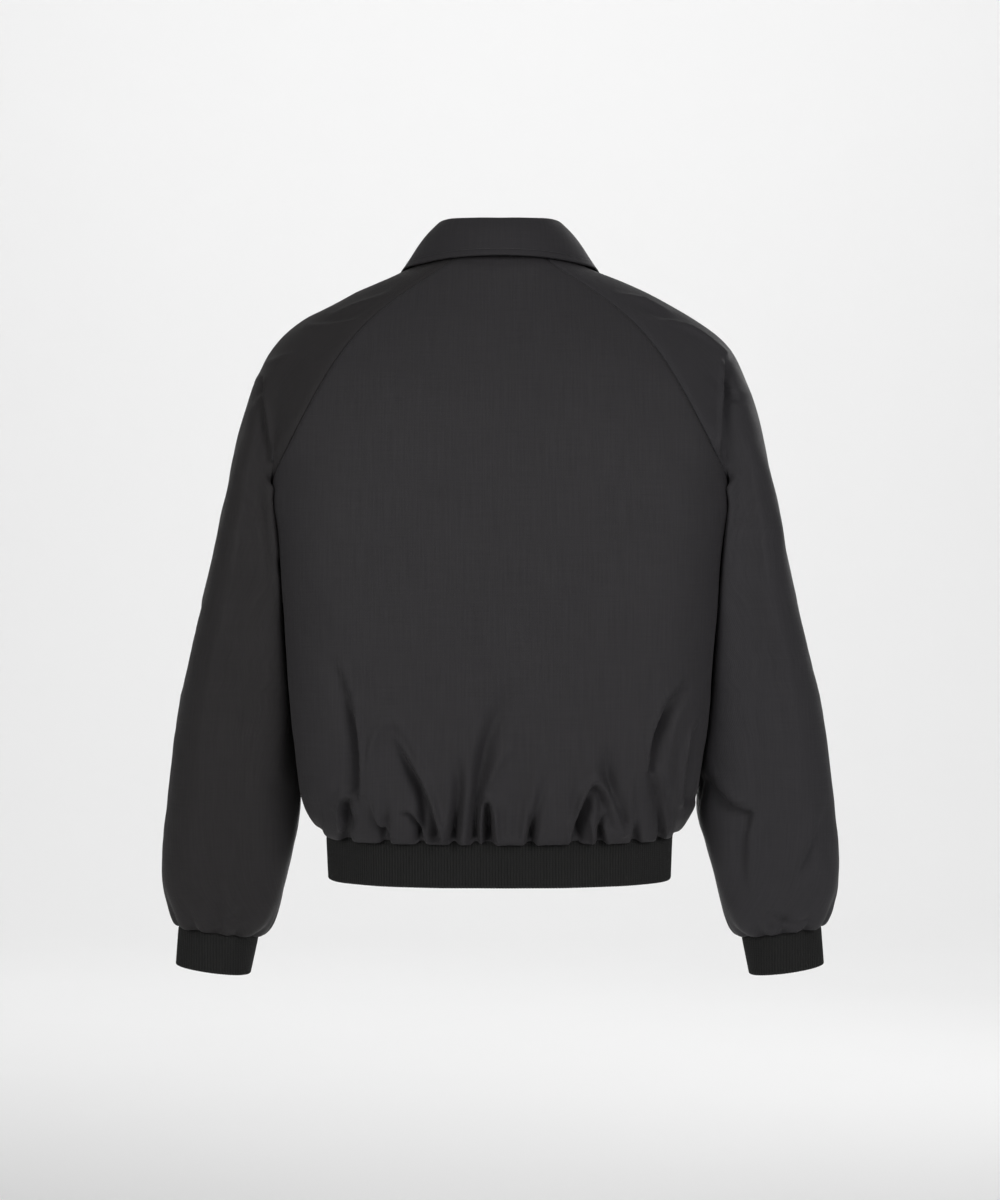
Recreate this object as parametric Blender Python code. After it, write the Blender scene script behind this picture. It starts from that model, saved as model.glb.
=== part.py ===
"""Bomber jacket, hollow and filled out as it is when worn: raglan sleeves, folded collar, rib hem and cuffs, front zip.

The wearer faces -Y and +X is the wearer's left. The origin is the middle of the neck opening, where the wearer holds
the jacket up. Sizes in this file are millimetres, and meshes are made in metres.

Each cloth piece is a wall. Its outer sheet is a grid of rows and columns on the body form, its inner sheet is the
same grid moved in by the cloth's thickness, and its rim closes the two. Neighbours share their seam's points, and
each piece then draws back from its own rim by half of SEAM_GAP.
"""

import math

import bmesh
import bpy
import numpy as np
from mathutils import Matrix

METRES = 0.001
SEAM_GAP = 0.3
SMOOTH_SEAM = 0.88
SHELL_THICK = 2.4
RIB_THICK = 3.0
COLLAR_THICK = 2.2

# The neck seam is a ring that drops to the front.
NECK_HALF_WIDTH = 70
NECK_BACK = 69
NECK_FRONT = 90
NECK_Z_BACK = 8
NECK_Z_SIDE = 4
NECK_Z_FRONT = -62

# The body form's level sections: half width, depth behind and in front of the shoulder line, squareness, and how
# far the hanging arm presses the side in.
BODY_COLUMNS = ("z", "half_width", "back", "front", "square", "dent")
BODY = (
    (8, 64, 69, 45, 1.70, 0),
    (-3, 92, 73, 54, 1.60, 0),
    (-20, 130, 82, 66, 1.60, 0),
    (-38, 170, 92, 75, 1.65, 0),
    (-55, 200, 102, 85, 1.75, 0),
    (-75, 225, 112, 96, 1.90, 0),
    (-100, 238, 124, 107, 2.10, 0),
    (-118, 243.5, 131, 115, 2.25, 0),
    (-150, 243, 141, 124, 2.50, 0),
    (-180, 240, 147, 131, 2.75, 4),
    (-219, 236, 151, 137, 3.00, 32),
    (-262, 232, 153, 141, 3.10, 32),
    (-300, 227, 154, 142, 3.10, 28),
    (-335, 224.5, 154, 142, 3.10, 25),
    (-400, 220, 152, 142, 3.00, 20),
    (-455, 216, 148, 140, 2.90, 17),
    (-505, 209, 143, 136, 2.80, 12),
    (-540, 203, 136, 130, 2.70, 8),
    (-550, 190, 129, 124, 2.55, 2),
    (-560, 179.5, 121, 116, 2.45, 0),
    (-567, 174, 116, 112, 2.40, 0),
)
DENT_HALF_DEPTH = 85

# The arm form's level sections: how far out its two sides are, the clearance it keeps from the body, and where its
# crease lies, ahead of and behind the arm's middle. The lowest rows tilt with the cuff.
ARM_COLUMNS = ("z", "outer", "inner", "half_depth", "middle_y", "tilt", "clear", "crease")
ARM = (
    (-100, 232, 188, 50, 2, 0, 0, 78),
    (-118, 246, 190, 66, 0, 0, 0, 78),
    (-155, 258, 194, 80, 0, 0, 0, 78),
    (-185, 265, 197, 88, 0, 0, 3, 78),
    (-219, 272, 199, 94, 0, 0, 4, 80),
    (-262, 281, 201, 96, 0, 0, 5, 88),
    (-335, 297, 203, 92, -2, 0, 5, 76),
    (-400, 310, 204, 87, -6, 0, 4, 66),
    (-470, 323, 203, 81, -12, 0, 3, 60),
    (-540, 333, 198, 75, -18, 0, 2, 55),
    (-585, 338, 208, 70, -24, 3, 2, 52),
    (-615, 341, 217, 66, -28, 5, 2, 49),
    (-640, 340, 224, 60, -32, 7, 2, 44),
    (-656, 332, 232, 51, -35, 8, 2, 38),
    (-668, 325, 245, 41, -38, 8, 2, 30),
)
ARM_SQUARE = 2.2
CLEAR_RAMP = 3

# Raglan seams on the body form, from the neck seam to where each meets the crease of the arm.
RAGLAN_COLUMNS = ("z", "back_x", "front_x")
RAGLAN = (
    (7, 38, 30),
    (-8, 56, 47),
    (-18, 72, 57),
    (-40, 105, 84),
    (-70, 137, 116),
    (-102, 160, 142),
    (-138, 181, 164),
    (-181, 203, 190),
    (-205, 216, 208),
    (-219, 225, 225),
)
CREASE_Z = -219
CREASE_Y = 78
UNDERARM_Z = -262

# Rows of the grids. The first ones run from the neck ring to NECK_ROWS_END, by share of that way.
NECK_SHARES = (0, 0.13, 0.28, 0.45, 0.63, 0.81)
NECK_ROWS_END = -130
ARMHOLE_LEVELS = (-130, -156, -182, -205, -225, -242, -254, -262)
BODY_LEVELS = (-290, -328, -368, -408, -444, -474, -502, -526, -545, -560, -567)
SLEEVE_LEVELS = (-290, -330, -372, -414, -456, -498, -540, -578, -608, -634, -656, -668)
FACE_COLUMNS = 7
CORNER_COLUMNS = 3
CORNER_DEPTH = 88
PINCH = 14
PINCH_SPREAD = 0.9
SLEEVE_SIDE_COLUMNS = 3
SLEEVE_ARM_COLUMNS = 10
SAMPLES = 241

# The largest gathers above the hem rib: where each valley meets the rib and where it runs out above.
GATHER_COLUMNS = ("hem_x", "top_x", "top_z", "half_width", "depth")
BACK_GATHERS = (
    (138, 162, -392, 17, 6),
    (62, 106, -455, 18, 7),
    (16, -6, -425, 17, 7),
    (-74, -92, -468, 17, 6),
    (-119, -98, -470, 14, 4),
    (-152, -178, -425, 17, 6),
)
FRONT_GATHERS = (
    (150, 172, -420, 17, 5),
    (104, 120, -450, 17, 6),
    (58, 50, -470, 16, 5),
    (-48, -60, -462, 17, 6),
    (-98, -92, -445, 16, 5),
    (-146, -168, -430, 17, 6),
)
GATHER_FULL_Z = -545
SIDE_FADE = 40
HEM_SEAM_Z = -567

# Rib hem and cuffs.
HEM_RIB_DROP = 46
HEM_RIB_DRAW_IN = 2
HEM_RIB_ROWS = 2
HEM_FACE_X = 0.65
HEM_FACE_Y = 0.75
CUFF_DROP = 41
CUFF_DRAW_IN = 2.5
CUFF_ROWS = 3

# Collar: the fold line stands over the neck seam, and the leaf falls outside it to an edge over the shoulders.
# Turns are degrees round the neck from centre back, and an edge lies clear of the body form at its own height.
STAND_END = 172
COLLAR_COLUMNS = 26
STAND_ROWS = 2
COLLAR_SHAPE_COLUMNS = ("turn", "fold_out", "fold_up", "edge_turn", "edge_z", "edge_clear")
COLLAR_SHAPE = (
    (0, -9, 31.5, 0, 1, 13),
    (30, -9, 33.5, 30, 0.5, 12),
    (60, -9, 37, 60, -2, 8.5),
    (75, -8.5, 37, 75, -4, 6),
    (90, -8, 33.5, 88, -2.5, 6),
    (105, -7, 28.5, 103, -12, 6),
    (120, -6, 24.5, 118, -34, 6),
    (140, -3, 21, 134, -64, 7),
    (158, 0, 19, 147, -88, 8),
    (168, 2, 18, 156, -103, 9),
)
LEAF_ROLL_COLUMNS = ("out", "up")
LEAF_ROLL = (
    (-2.4, 0),
    (1.2, 0.4),
    (3.8, -2.2),
)
LEAF_FALL_COLUMNS = ("share", "lift")
LEAF_FALL = (
    (0.22, 2.4),
    (0.45, 2.8),
    (0.70, 1.6),
    (1.00, 0.0),
)

# Zip. The front edges stop at ZIP_EDGE from the middle and the tapes lie behind them.
ZIP_EDGE = 7.5
TAPE_INNER_X = 0.5
TAPE_OUTER_X = 15
TAPE_BEHIND = 4.4
TAPE_THICK = 0.9
CHAIN_HALF_WIDTH = 3
CHAIN_THICK = 2
CHAIN_AHEAD = 3.3
SLIDER_Z = -74
SLIDER_SIZE = (9.2, 2.6, 11)
CHAIN_TOP_Z = -81
CHAIN_BOTTOM_Z = -601
BOX_SIZE = (9, 2.6, 9)
PIN_RADIUS = 0.7
PIN_STANDS = 2.3
LUG_SIZE = (1.2, 3.4, 2.4)
LUG_X = 3.3
EYE_RADIUS = 1.8
EYE_CLEAR = 0.3
EYE_WIDTH = 4.4
PULL_SIZE = (7.2, 1.4, 20)
PULL_NECK = 3

CLOTH = ("black_cloth", (0.033, 0.032, 0.033, 1), 0.0, 0.72)
SLEEVE_CLOTH = ("black_sleeve_cloth", (0.030, 0.029, 0.030, 1), 0.0, 0.72)
COLLAR_CLOTH = ("black_collar_cloth", (0.028, 0.027, 0.028, 1), 0.0, 0.72)
RIB_KNIT = ("black_rib_knit", (0.018, 0.018, 0.018, 1), 0.0, 0.9)
TAPE = ("black_zip_tape", (0.014, 0.014, 0.014, 1), 0.0, 0.85)
ZIP_METAL = ("black_zip_metal", (0.05, 0.05, 0.052, 1), 0.9, 0.38)


def column(table, names, name):
    """One column of a table, ordered by its first column, with that first column."""
    rows = np.array(sorted(table), float)
    return rows[:, 0], rows[:, names.index(name)]


def smooth_curve(keys, values, at):
    """A cubic through the table that never overshoots it."""
    at = np.clip(at, keys[0], keys[-1])
    steps = np.diff(values) / np.diff(keys)
    inner = np.where(steps[1:] * steps[:-1] > 0, 2 * steps[1:] * steps[:-1] / (steps[1:] + steps[:-1] + 1e-12), 0)
    slopes = np.concatenate([steps[:1], inner, steps[-1:]])
    place = np.clip(np.searchsorted(keys, at, side="right") - 1, 0, len(keys) - 2)
    width = keys[place + 1] - keys[place]
    t = (at - keys[place]) / width
    start = values[place] * (1 + 2 * t) * (1 - t) ** 2 + slopes[place] * width * t * (1 - t) ** 2
    end = values[place + 1] * t * t * (3 - 2 * t) + slopes[place + 1] * width * t * t * (t - 1)
    return start + end


def body(name, z):
    return smooth_curve(*column(BODY, BODY_COLUMNS, name), z)


def arm(name, z):
    return smooth_curve(*column(ARM, ARM_COLUMNS, name), z)


def raglan(name, z):
    return smooth_curve(*column(RAGLAN, RAGLAN_COLUMNS, name), z)


def unit(vectors):
    lengths = np.linalg.norm(vectors, axis=-1, keepdims=True)
    return vectors / np.where(lengths < 1e-9, 1, lengths)


def resample(points, count):
    """count + 1 points at equal steps along a path."""
    reach = np.concatenate([[0], np.cumsum(np.linalg.norm(np.diff(points, axis=0), axis=1))])
    at = np.linspace(0, reach[-1], count + 1)
    return np.stack([np.interp(at, reach, points[:, k]) for k in range(3)], axis=1)


# ---- The body form ----


def dent(z, y):
    return body("dent", z) * np.clip(1 - (y / DENT_HALF_DEPTH) ** 2, 0, None) ** 2


def body_section(z, turn):
    """Points of the body form at heights z. turn goes from 0 at centre back to pi at centre front."""
    power = 2 / body("square", z)
    depth = np.where(np.cos(turn) > 0, body("back", z), body("front", z))
    y = depth * np.sign(np.cos(turn)) * np.abs(np.cos(turn)) ** power
    x = body("half_width", z) * np.abs(np.sin(turn)) ** power - dent(z, y)
    return np.stack([x, y, z + 0 * turn], axis=-1)


def body_side_x(z, y):
    """How far out the body form reaches beside the arm, at depth y."""
    depth = np.where(y > 0, body("back", z), body("front", z))
    square = body("square", z)
    inside = np.clip(1 - (np.abs(y) / depth) ** square, 0, 1)
    return body("half_width", z) * inside ** (1 / square) - dent(z, y)


def neck_ring(turn):
    drop = np.where(turn > math.pi / 2, np.cos(turn) ** 2, 0)
    lift = np.where(turn > math.pi / 2, 0, np.cos(turn) ** 2)
    z = NECK_Z_SIDE + (NECK_Z_BACK - NECK_Z_SIDE) * lift + (NECK_Z_FRONT - NECK_Z_SIDE) * drop
    depth = np.where(turn > math.pi / 2, NECK_FRONT, NECK_BACK)
    return np.stack([NECK_HALF_WIDTH * np.sin(turn), depth * np.cos(turn), z], axis=-1)


def body_row(row, turn):
    """Points of one row of the body's grid. The first rows bend from the neck ring to a level line."""
    turn = np.asarray(turn, float)
    if row >= len(NECK_SHARES):
        level = (ARMHOLE_LEVELS + BODY_LEVELS)[row - len(NECK_SHARES)]
        return body_section(np.full(turn.shape, float(level)), turn)
    ring = neck_ring(turn)
    share = NECK_SHARES[row]
    z = ring[..., 2] + (NECK_ROWS_END - ring[..., 2]) * share
    miss = ring - body_section(ring[..., 2], turn)
    return body_section(z, turn) + miss * (1 - share) ** 2


UNDERARM_ROW = len(NECK_SHARES) + len(ARMHOLE_LEVELS) - 1
LAST_BODY_ROW = UNDERARM_ROW + len(BODY_LEVELS)


def seam_depth(z):
    """Half depth of the armhole's lowest stretch, which curves under the arm."""
    return CREASE_Y * math.sqrt((z - UNDERARM_Z) / (CREASE_Z - UNDERARM_Z))


def seam_turn(row, side):
    """Where a row ends at the raglan seam or, below the armhole, at the side seam. side is back or front."""
    turns = np.linspace(0, math.pi / 2, SAMPLES) if side == "back" else np.linspace(math.pi, math.pi / 2, SAMPLES)
    if row >= UNDERARM_ROW:
        return math.pi / 2
    points = body_row(row, turns)
    if row >= len(NECK_SHARES) and points[0, 2] < CREASE_Z:
        miss = seam_depth(points[0, 2]) - np.abs(points[:, 1])
    else:
        miss = points[:, 0] - raglan(f"{side}_x", points[:, 2])
    past = int(np.argmax(miss > 0))
    share = miss[past - 1] / (miss[past - 1] - miss[past])
    return turns[past - 1] + share * (turns[past] - turns[past - 1])


def gather(points, table):
    """Draws the hem's valleys into a panel, deepest just above the rib and gone at the seam."""
    moved = points.copy()
    for hem_x, top_x, top_z, half_width, depth in table:
        share = np.clip((points[..., 2] - top_z) / (GATHER_FULL_Z - top_z), 0, 1)
        middle = top_x + (hem_x - top_x) * share
        fade = np.clip((points[..., 2] - HEM_SEAM_Z) / (GATHER_FULL_Z - HEM_SEAM_Z), 0, 1)
        pull = depth * share * share * (3 - 2 * share) * np.sqrt(fade)
        pull = pull * np.exp(-(((points[..., 0] - middle) / half_width) ** 2))
        moved[..., 1] -= pull * np.clip(points[..., 1] / SIDE_FADE, -1, 1)
    return moved


# ---- Sheets: grids of points with the faces between them ----


class Sheet:
    """A cloth piece's outer surface. merge_from joins the first and last columns from that row down."""

    def __init__(self, grid, merge_from=None):
        rows, columns = grid.shape[:2]
        self.at = np.arange(rows * columns).reshape(rows, columns)
        if merge_from is not None:
            self.at[merge_from:, -1] = self.at[merge_from:, 0]
        self.points = grid.reshape(-1, 3).copy()
        quads = np.stack([self.at[:-1, :-1], self.at[:-1, 1:], self.at[1:, 1:], self.at[1:, :-1]], axis=-1)
        self.quads = quads.reshape(-1, 4)
        self.normals = self.own_normals()
        self.step_back = np.zeros(len(self.points))

    def own_normals(self):
        corners = self.points[self.quads]
        face = np.cross(corners[:, 2] - corners[:, 0], corners[:, 3] - corners[:, 1])
        total = np.zeros(self.points.shape)
        for k in range(4):
            np.add.at(total, self.quads[:, k], face)
        return unit(total)

    def mirrored(self):
        """The same piece on the wearer's other side."""
        other = Sheet.__new__(Sheet)
        other.at = self.at
        other.points = self.points * (-1, 1, 1)
        other.quads = self.quads[:, ::-1]
        other.normals = self.normals * (-1, 1, 1)
        other.step_back = self.step_back.copy()
        return other


def share_seam_normals(sheets):
    """Pieces that meet smoothly share one direction at their seam, so their rims are parallel. Where they meet in a
    crease each keeps its own and steps back from the other."""
    meeting = {}
    for sheet in sheets:
        for k in np.unique(sheet.quads):
            meeting.setdefault(tuple(np.round(sheet.points[k], 3) + 0.0), []).append((sheet, k))
    for pieces in meeting.values():
        normals = np.array([sheet.normals[k] for sheet, k in pieces])
        shared = unit(normals.sum(axis=0))
        smooth = (normals @ shared).min() > SMOOTH_SEAM
        for sheet, k in pieces:
            if smooth:
                sheet.normals[k] = shared
            else:
                sheet.step_back[k] = 1


def face_out(sheet, indices, middle):
    """Turns a ring of points to face straight away from its middle."""
    sheet.normals[indices] = unit(sheet.points[indices] - middle)


def wall(name, sheet, thickness, finish, gap=SEAM_GAP / 2):
    """Makes the closed solid of a sheet: outer face, inner face and rim, drawn back from its rim by gap."""
    used = np.unique(sheet.quads)
    mesh = bmesh.new()
    outer = {k: mesh.verts.new(sheet.points[k]) for k in used}
    for quad in sheet.quads:
        mesh.faces.new([outer[k] for k in quad])
    mesh.verts.index_update()
    shifts = {}
    for k in used:
        edges = [edge for edge in outer[k].link_edges if edge.is_boundary]
        if len(edges) != 2:
            continue
        inward = [rim_inward(edge, sheet.normals[k]) for edge in edges]
        mitre = (inward[0] + inward[1]) / max(1 + float(inward[0] @ inward[1]), 0.4)
        shifts[k] = (mitre - sheet.normals[k] * sheet.step_back[k]) * gap
    inner = {k: mesh.verts.new(sheet.points[k] + shifts.get(k, 0) - sheet.normals[k] * thickness) for k in used}
    rims = [edge for edge in mesh.edges if edge.is_boundary]
    back = {outer[k]: inner[k] for k in used}
    for edge in rims:
        first, second = edge.link_loops[0].vert, edge.link_loops[0].link_loop_next.vert
        mesh.faces.new([second, first, back[first], back[second]])
    for quad in sheet.quads:
        mesh.faces.new([inner[k] for k in reversed(quad)])
    for k, shift in shifts.items():
        outer[k].co = sheet.points[k] + shift
    bmesh.ops.triangulate(mesh, faces=mesh.faces, quad_method="SHORT_EDGE")
    return in_metres(name, mesh, finish)


def rim_inward(edge, normal):
    """The direction from a rim edge into its piece, across the edge."""
    along = np.array((edge.verts[1].co - edge.verts[0].co).normalized())
    across = np.cross(normal, along)
    middle = np.array((edge.verts[0].co + edge.verts[1].co) / 2)
    inside = np.array(edge.link_faces[0].calc_center_median()) - middle
    return unit(across * (1 if across @ inside > 0 else -1))


def in_metres(name, mesh, finish=ZIP_METAL):
    """Puts a mesh made in millimetres into the scene."""
    bmesh.ops.scale(mesh, vec=(METRES, METRES, METRES), verts=mesh.verts)
    data = bpy.data.meshes.new(name)
    mesh.to_mesh(data)
    mesh.free()
    data.shade_smooth()
    data.set_sharp_from_angle(angle=math.radians(40))
    solid = bpy.data.objects.new(name, data)
    bpy.context.scene.collection.objects.link(solid)
    data.materials.append(material(*finish))
    return solid


def material(name, colour, metallic, roughness):
    found = bpy.data.materials.get(name)
    if found:
        return found
    made = bpy.data.materials.new(name)
    made.use_nodes = True
    surface = made.node_tree.nodes["Principled BSDF"]
    surface.inputs["Base Color"].default_value = colour
    surface.inputs["Metallic"].default_value = metallic
    surface.inputs["Roughness"].default_value = roughness
    return made


# ---- Back and fronts ----


def panel_row(row, path):
    """Columns from the middle of a panel to its seam. The last few turn the body's corner and narrow at the armhole."""
    reach = np.concatenate([[0], np.cumsum(np.linalg.norm(np.diff(path, axis=0), axis=1))])
    even = reach[-1] * CORNER_COLUMNS / (FACE_COLUMNS + CORNER_COLUMNS)
    z = path[-1, 2]
    if z < CREASE_Z:
        cut = int(np.argmax(np.abs(path[:, 1]) < CORNER_DEPTH))
    else:
        corner = min(even, PINCH + PINCH_SPREAD * (z - CREASE_Z))
        cut = int(np.argmax(reach > reach[-1] - corner))
    return np.concatenate([resample(path[: cut + 1], FACE_COLUMNS)[:-1], resample(path[cut:], CORNER_COLUMNS)])


def back_sheet():
    """One panel from armhole to armhole, gathered at the hem."""
    rows = []
    for row in range(LAST_BODY_ROW + 1):
        half = panel_row(row, body_row(row, np.linspace(0, seam_turn(row, "back"), SAMPLES)))
        rows.append(np.concatenate([half[:0:-1] * (-1, 1, 1), half]))
    sheet = Sheet(gather(np.array(rows), BACK_GATHERS))
    return sheet


def front_sheet(side):
    """One front from the zip to the armhole. side is 1 for the wearer's left and -1 for the right."""
    rows = []
    for row in range(LAST_BODY_ROW + 1):
        path = body_row(row, np.linspace(math.pi, seam_turn(row, "front"), SAMPLES))
        past = int(np.argmax(path[:, 0] > ZIP_EDGE))
        share = (ZIP_EDGE - path[past - 1, 0]) / (path[past, 0] - path[past - 1, 0])
        start = path[past - 1] + share * (path[past] - path[past - 1])
        rows.append(panel_row(row, np.concatenate([[start], path[past:]]))[::-1])
    grid = np.array(rows)
    table = [(side * hem_x, side * top_x, *rest) for hem_x, top_x, *rest in FRONT_GATHERS]
    sheet = Sheet(gather(grid, table))
    return sheet if side > 0 else sheet.mirrored()


# ---- Sleeves ----


def arm_section(z, turn):
    """Points of the arm form. turn goes from pi at the inner side, over the back and the outer side, to -pi."""
    power = 2 / ARM_SQUARE
    outer, inner = arm("outer", z), arm("inner", z)
    x = (outer + inner) / 2 + (outer - inner) / 2 * np.sign(np.cos(turn)) * np.abs(np.cos(turn)) ** power
    y = arm("middle_y", z) + arm("half_depth", z) * np.sign(np.sin(turn)) * np.abs(np.sin(turn)) ** power
    if z < CREASE_Z:
        seam_z = UNDERARM_Z + (CREASE_Z - UNDERARM_Z) * (y / CREASE_Y) ** 2
        below = np.clip(seam_z - z, 0, None)
        clear = arm("clear", z) * (1 - np.exp(-below / CLEAR_RAMP))
        x = np.maximum(x, body_side_x(z, y) + clear)
    tilt = np.tan(np.radians(arm("tilt", z)))
    return np.stack([x, y, z + (x - (outer + inner) / 2) * tilt], axis=-1)


def arm_turn(z, point):
    """The arm form's turn at a point of its section."""
    outer, inner = arm("outer", z), arm("inner", z)
    x = (point[0] - (outer + inner) / 2) / ((outer - inner) / 2)
    y = (point[1] - arm("middle_y", z)) / arm("half_depth", z)
    half = ARM_SQUARE / 2
    return math.atan2(math.copysign(abs(y) ** half, y), math.copysign(abs(x) ** half, x))


def crease_turn(row, side, start):
    """Where the body form meets the arm form on a row above the underarm, as the body form's turn, or None."""
    turns = np.linspace(start, math.pi / 2, SAMPLES)
    points = body_row(row, turns)
    z = float(points[0, 2])
    outer, inner = arm("outer", z), arm("inner", z)
    x = (points[:, 0] - (outer + inner) / 2) / ((outer - inner) / 2)
    y = (points[:, 1] - arm("middle_y", z)) / arm("half_depth", z)
    inside = np.abs(x) ** ARM_SQUARE + np.abs(y) ** ARM_SQUARE < 1
    return turns[int(np.argmax(inside))] if inside.any() else None


def sleeve_row_above(row):
    """A row from the back raglan seam over the shoulder or arm to the front raglan seam."""
    starts = {side: seam_turn(row, side) for side in ("back", "front")}
    creases = {side: None for side in starts}
    if row >= len(NECK_SHARES):
        creases = {side: crease_turn(row, side, start) for side, start in starts.items()}
    if None in creases.values():
        reach = {side: starts[side] + (math.pi / 2 - starts[side]) * 0.5 for side in starts}
        arc = body_row(row, np.linspace(reach["back"], reach["front"], SAMPLES))
    else:
        reach = creases
        z = float(ARMHOLE_LEVELS[row - len(NECK_SHARES)])
        ends = [arm_turn(z, body_row(row, np.array([reach[side]]))[0]) for side in ("back", "front")]
        arc = arm_section(z, np.linspace(ends[0], ends[1], SAMPLES))
    first = body_row(row, np.linspace(starts["back"], reach["back"], SAMPLES))
    last = body_row(row, np.linspace(reach["front"], starts["front"], SAMPLES))
    arc[0], arc[-1] = first[-1], last[0]
    return first, arc, last


def sleeve_row_under(z):
    """A row round the arm, from the seam under it back to that seam. Above the underarm the row is still open."""
    ring = arm_section(z, np.linspace(math.pi, -math.pi, 4 * SAMPLES))
    open_depth = seam_depth(z) if z > UNDERARM_Z else 0
    half = len(ring) // 2
    back, front = ring[:half], ring[half:]
    if open_depth:
        seam = {sign: body_point_at(z, sign * open_depth) for sign in (1, -1)}
        inner_back = (back[:, 1] > open_depth) | (back[:, 0] > arm("outer", z) - 20)
        inner_front = (front[:, 1] < -open_depth) | (front[:, 0] > arm("outer", z) - 20)
        back = np.concatenate([[seam[1]], back[inner_back]])
        front = np.concatenate([front[inner_front], [seam[-1]]])
    cut_back = int(np.argmax(back[:, 1] - arm("middle_y", z) > arm("crease", z)))
    cut_front = len(front) - 1 - int(np.argmax(arm("middle_y", z) - front[::-1, 1] > arm("crease", z)))
    return back[: cut_back + 1], np.concatenate([back[cut_back:], front[: cut_front + 1]]), front[cut_front:]


def body_point_at(z, y):
    return np.array((float(body_side_x(z, np.array(y))), y, z))


def sleeve_sheet():
    rows = []
    for row in range(UNDERARM_ROW + 1 + len(SLEEVE_LEVELS)):
        levels = ARMHOLE_LEVELS + SLEEVE_LEVELS
        z = float(levels[row - len(NECK_SHARES)]) if row >= len(NECK_SHARES) else 0.0
        parts = sleeve_row_above(row) if z > CREASE_Z else sleeve_row_under(z)
        counts = (SLEEVE_SIDE_COLUMNS, SLEEVE_ARM_COLUMNS, SLEEVE_SIDE_COLUMNS)
        pieces = [resample(part, count) for part, count in zip(parts, counts)]
        rows.append(np.concatenate([pieces[0][:-1], pieces[1][:-1], pieces[2]]))
        if row == UNDERARM_ROW:
            rows[-1][0] = rows[-1][-1] = body_point_at(z, 0.0)
        elif row > UNDERARM_ROW:
            rows[-1][-1] = rows[-1][0]
    sheet = Sheet(np.array(rows), merge_from=UNDERARM_ROW)
    return sheet


def cuff_middle():
    """The middle of the seam between sleeve and cuff."""
    z = ARM[-1][0]
    return np.array(((arm("outer", z) + arm("inner", z)) / 2, arm("middle_y", z), z))


# ---- Ribs ----


def hem_rib_sheet(hem_ring):
    """A band below the shell's hem, open at the zip."""
    rows = []
    out = unit(hem_ring * (HEM_FACE_X, HEM_FACE_Y, 0))
    for share in np.linspace(0, 1, HEM_RIB_ROWS + 1):
        rows.append(hem_ring - out * HEM_RIB_DRAW_IN * share - np.array((0, 0, HEM_RIB_DROP)) * share)
    sheet = Sheet(np.array(rows))
    for indices in sheet.at:
        sheet.normals[indices] = out
    return sheet


def cuff_sheet(sleeve):
    """A closed band below the sleeve, along the tilted axis of its last row."""
    ring = sleeve.points[sleeve.at[-1]]
    middle = cuff_middle()
    tilt = math.radians(arm("tilt", ARM[-1][0]))
    down = np.array((math.sin(tilt), 0, -math.cos(tilt)))
    rows = []
    for k in range(CUFF_ROWS + 1):
        share = k / CUFF_ROWS
        out = unit(ring - middle)
        rows.append(ring + down * CUFF_DROP * share - out * CUFF_DRAW_IN * share)
    sheet = Sheet(np.array(rows), merge_from=0)
    for row, indices in enumerate(sheet.at):
        face_out(sheet, indices, middle + down * CUFF_DROP * row / CUFF_ROWS)
    return sheet


# ---- Collar ----


def ring_out(turn):
    """The level direction away from the neck at a turn of its ring."""
    depth = np.where(turn > math.pi / 2, NECK_FRONT, NECK_BACK)
    return unit(np.stack([np.sin(turn) / NECK_HALF_WIDTH, np.cos(turn) / depth, 0 * turn], axis=-1))


def collar_shape(name, turn):
    return smooth_curve(*column(COLLAR_SHAPE, COLLAR_SHAPE_COLUMNS, name), np.degrees(turn))


def body_outward(turn, z, clear):
    """A point beside the body form at height z, in the level direction of turn."""
    depth = np.where(turn > math.pi / 2, body("front", z), body("back", z))
    square = body("square", z)
    reach = (np.sin(turn) / body("half_width", z)) ** square + (np.abs(np.cos(turn)) / depth) ** square
    reach = reach ** (-1 / square) + clear
    return np.stack([reach * np.sin(turn), reach * np.cos(turn), z], axis=-1)


def both_sides(half):
    """Rows that run from centre back, with the other side's mirror image before them."""
    return np.concatenate([half[:, :0:-1] * (-1, 1, 1), half], axis=1)


def collar_sheets():
    """The stand, up to just under the fold, and the leaf, from over the stand's top edge down to its own edge."""
    up = np.array((0, 0, 1))
    turn = np.radians(np.linspace(0, STAND_END, COLLAR_COLUMNS // 2 + 1))
    foot, out = neck_ring(turn), ring_out(turn)
    fold = foot + out * collar_shape("fold_out", turn)[:, None] + up * collar_shape("fold_up", turn)[:, None]
    along = unit(np.gradient(fold, axis=0))
    top = fold - up * (COLLAR_THICK + 4 * SEAM_GAP) / np.sqrt(1 - along[:, 2:] ** 2)
    shares = np.linspace(0, 1, STAND_ROWS + 1)
    stand = Sheet(both_sides(np.array([foot + (top - foot) * share for share in shares[::-1]])))
    for indices, facing in zip(stand.at, np.tile(both_sides(out[None]), (len(shares), 1, 1))):
        stand.normals[indices] = facing

    turn = np.radians(np.linspace(0, COLLAR_SHAPE[-1][0], COLLAR_COLUMNS // 2 + 1))
    foot, out = neck_ring(turn), ring_out(turn)
    fold = foot + out * collar_shape("fold_out", turn)[:, None] + up * collar_shape("fold_up", turn)[:, None]
    edge_turn = np.radians(collar_shape("edge_turn", turn))
    edge = body_outward(edge_turn, collar_shape("edge_z", turn), collar_shape("edge_clear", turn))
    rows = [fold + out * across + up * rise for across, rise in LEAF_ROLL]
    start = rows[-1]
    for share, lift in LEAF_FALL:
        rows.append(start + (edge - start) * share + (out * 0.6 + up * 0.8) * lift)
    return stand, Sheet(both_sides(np.array(rows)))


# ---- Zip ----


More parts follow.
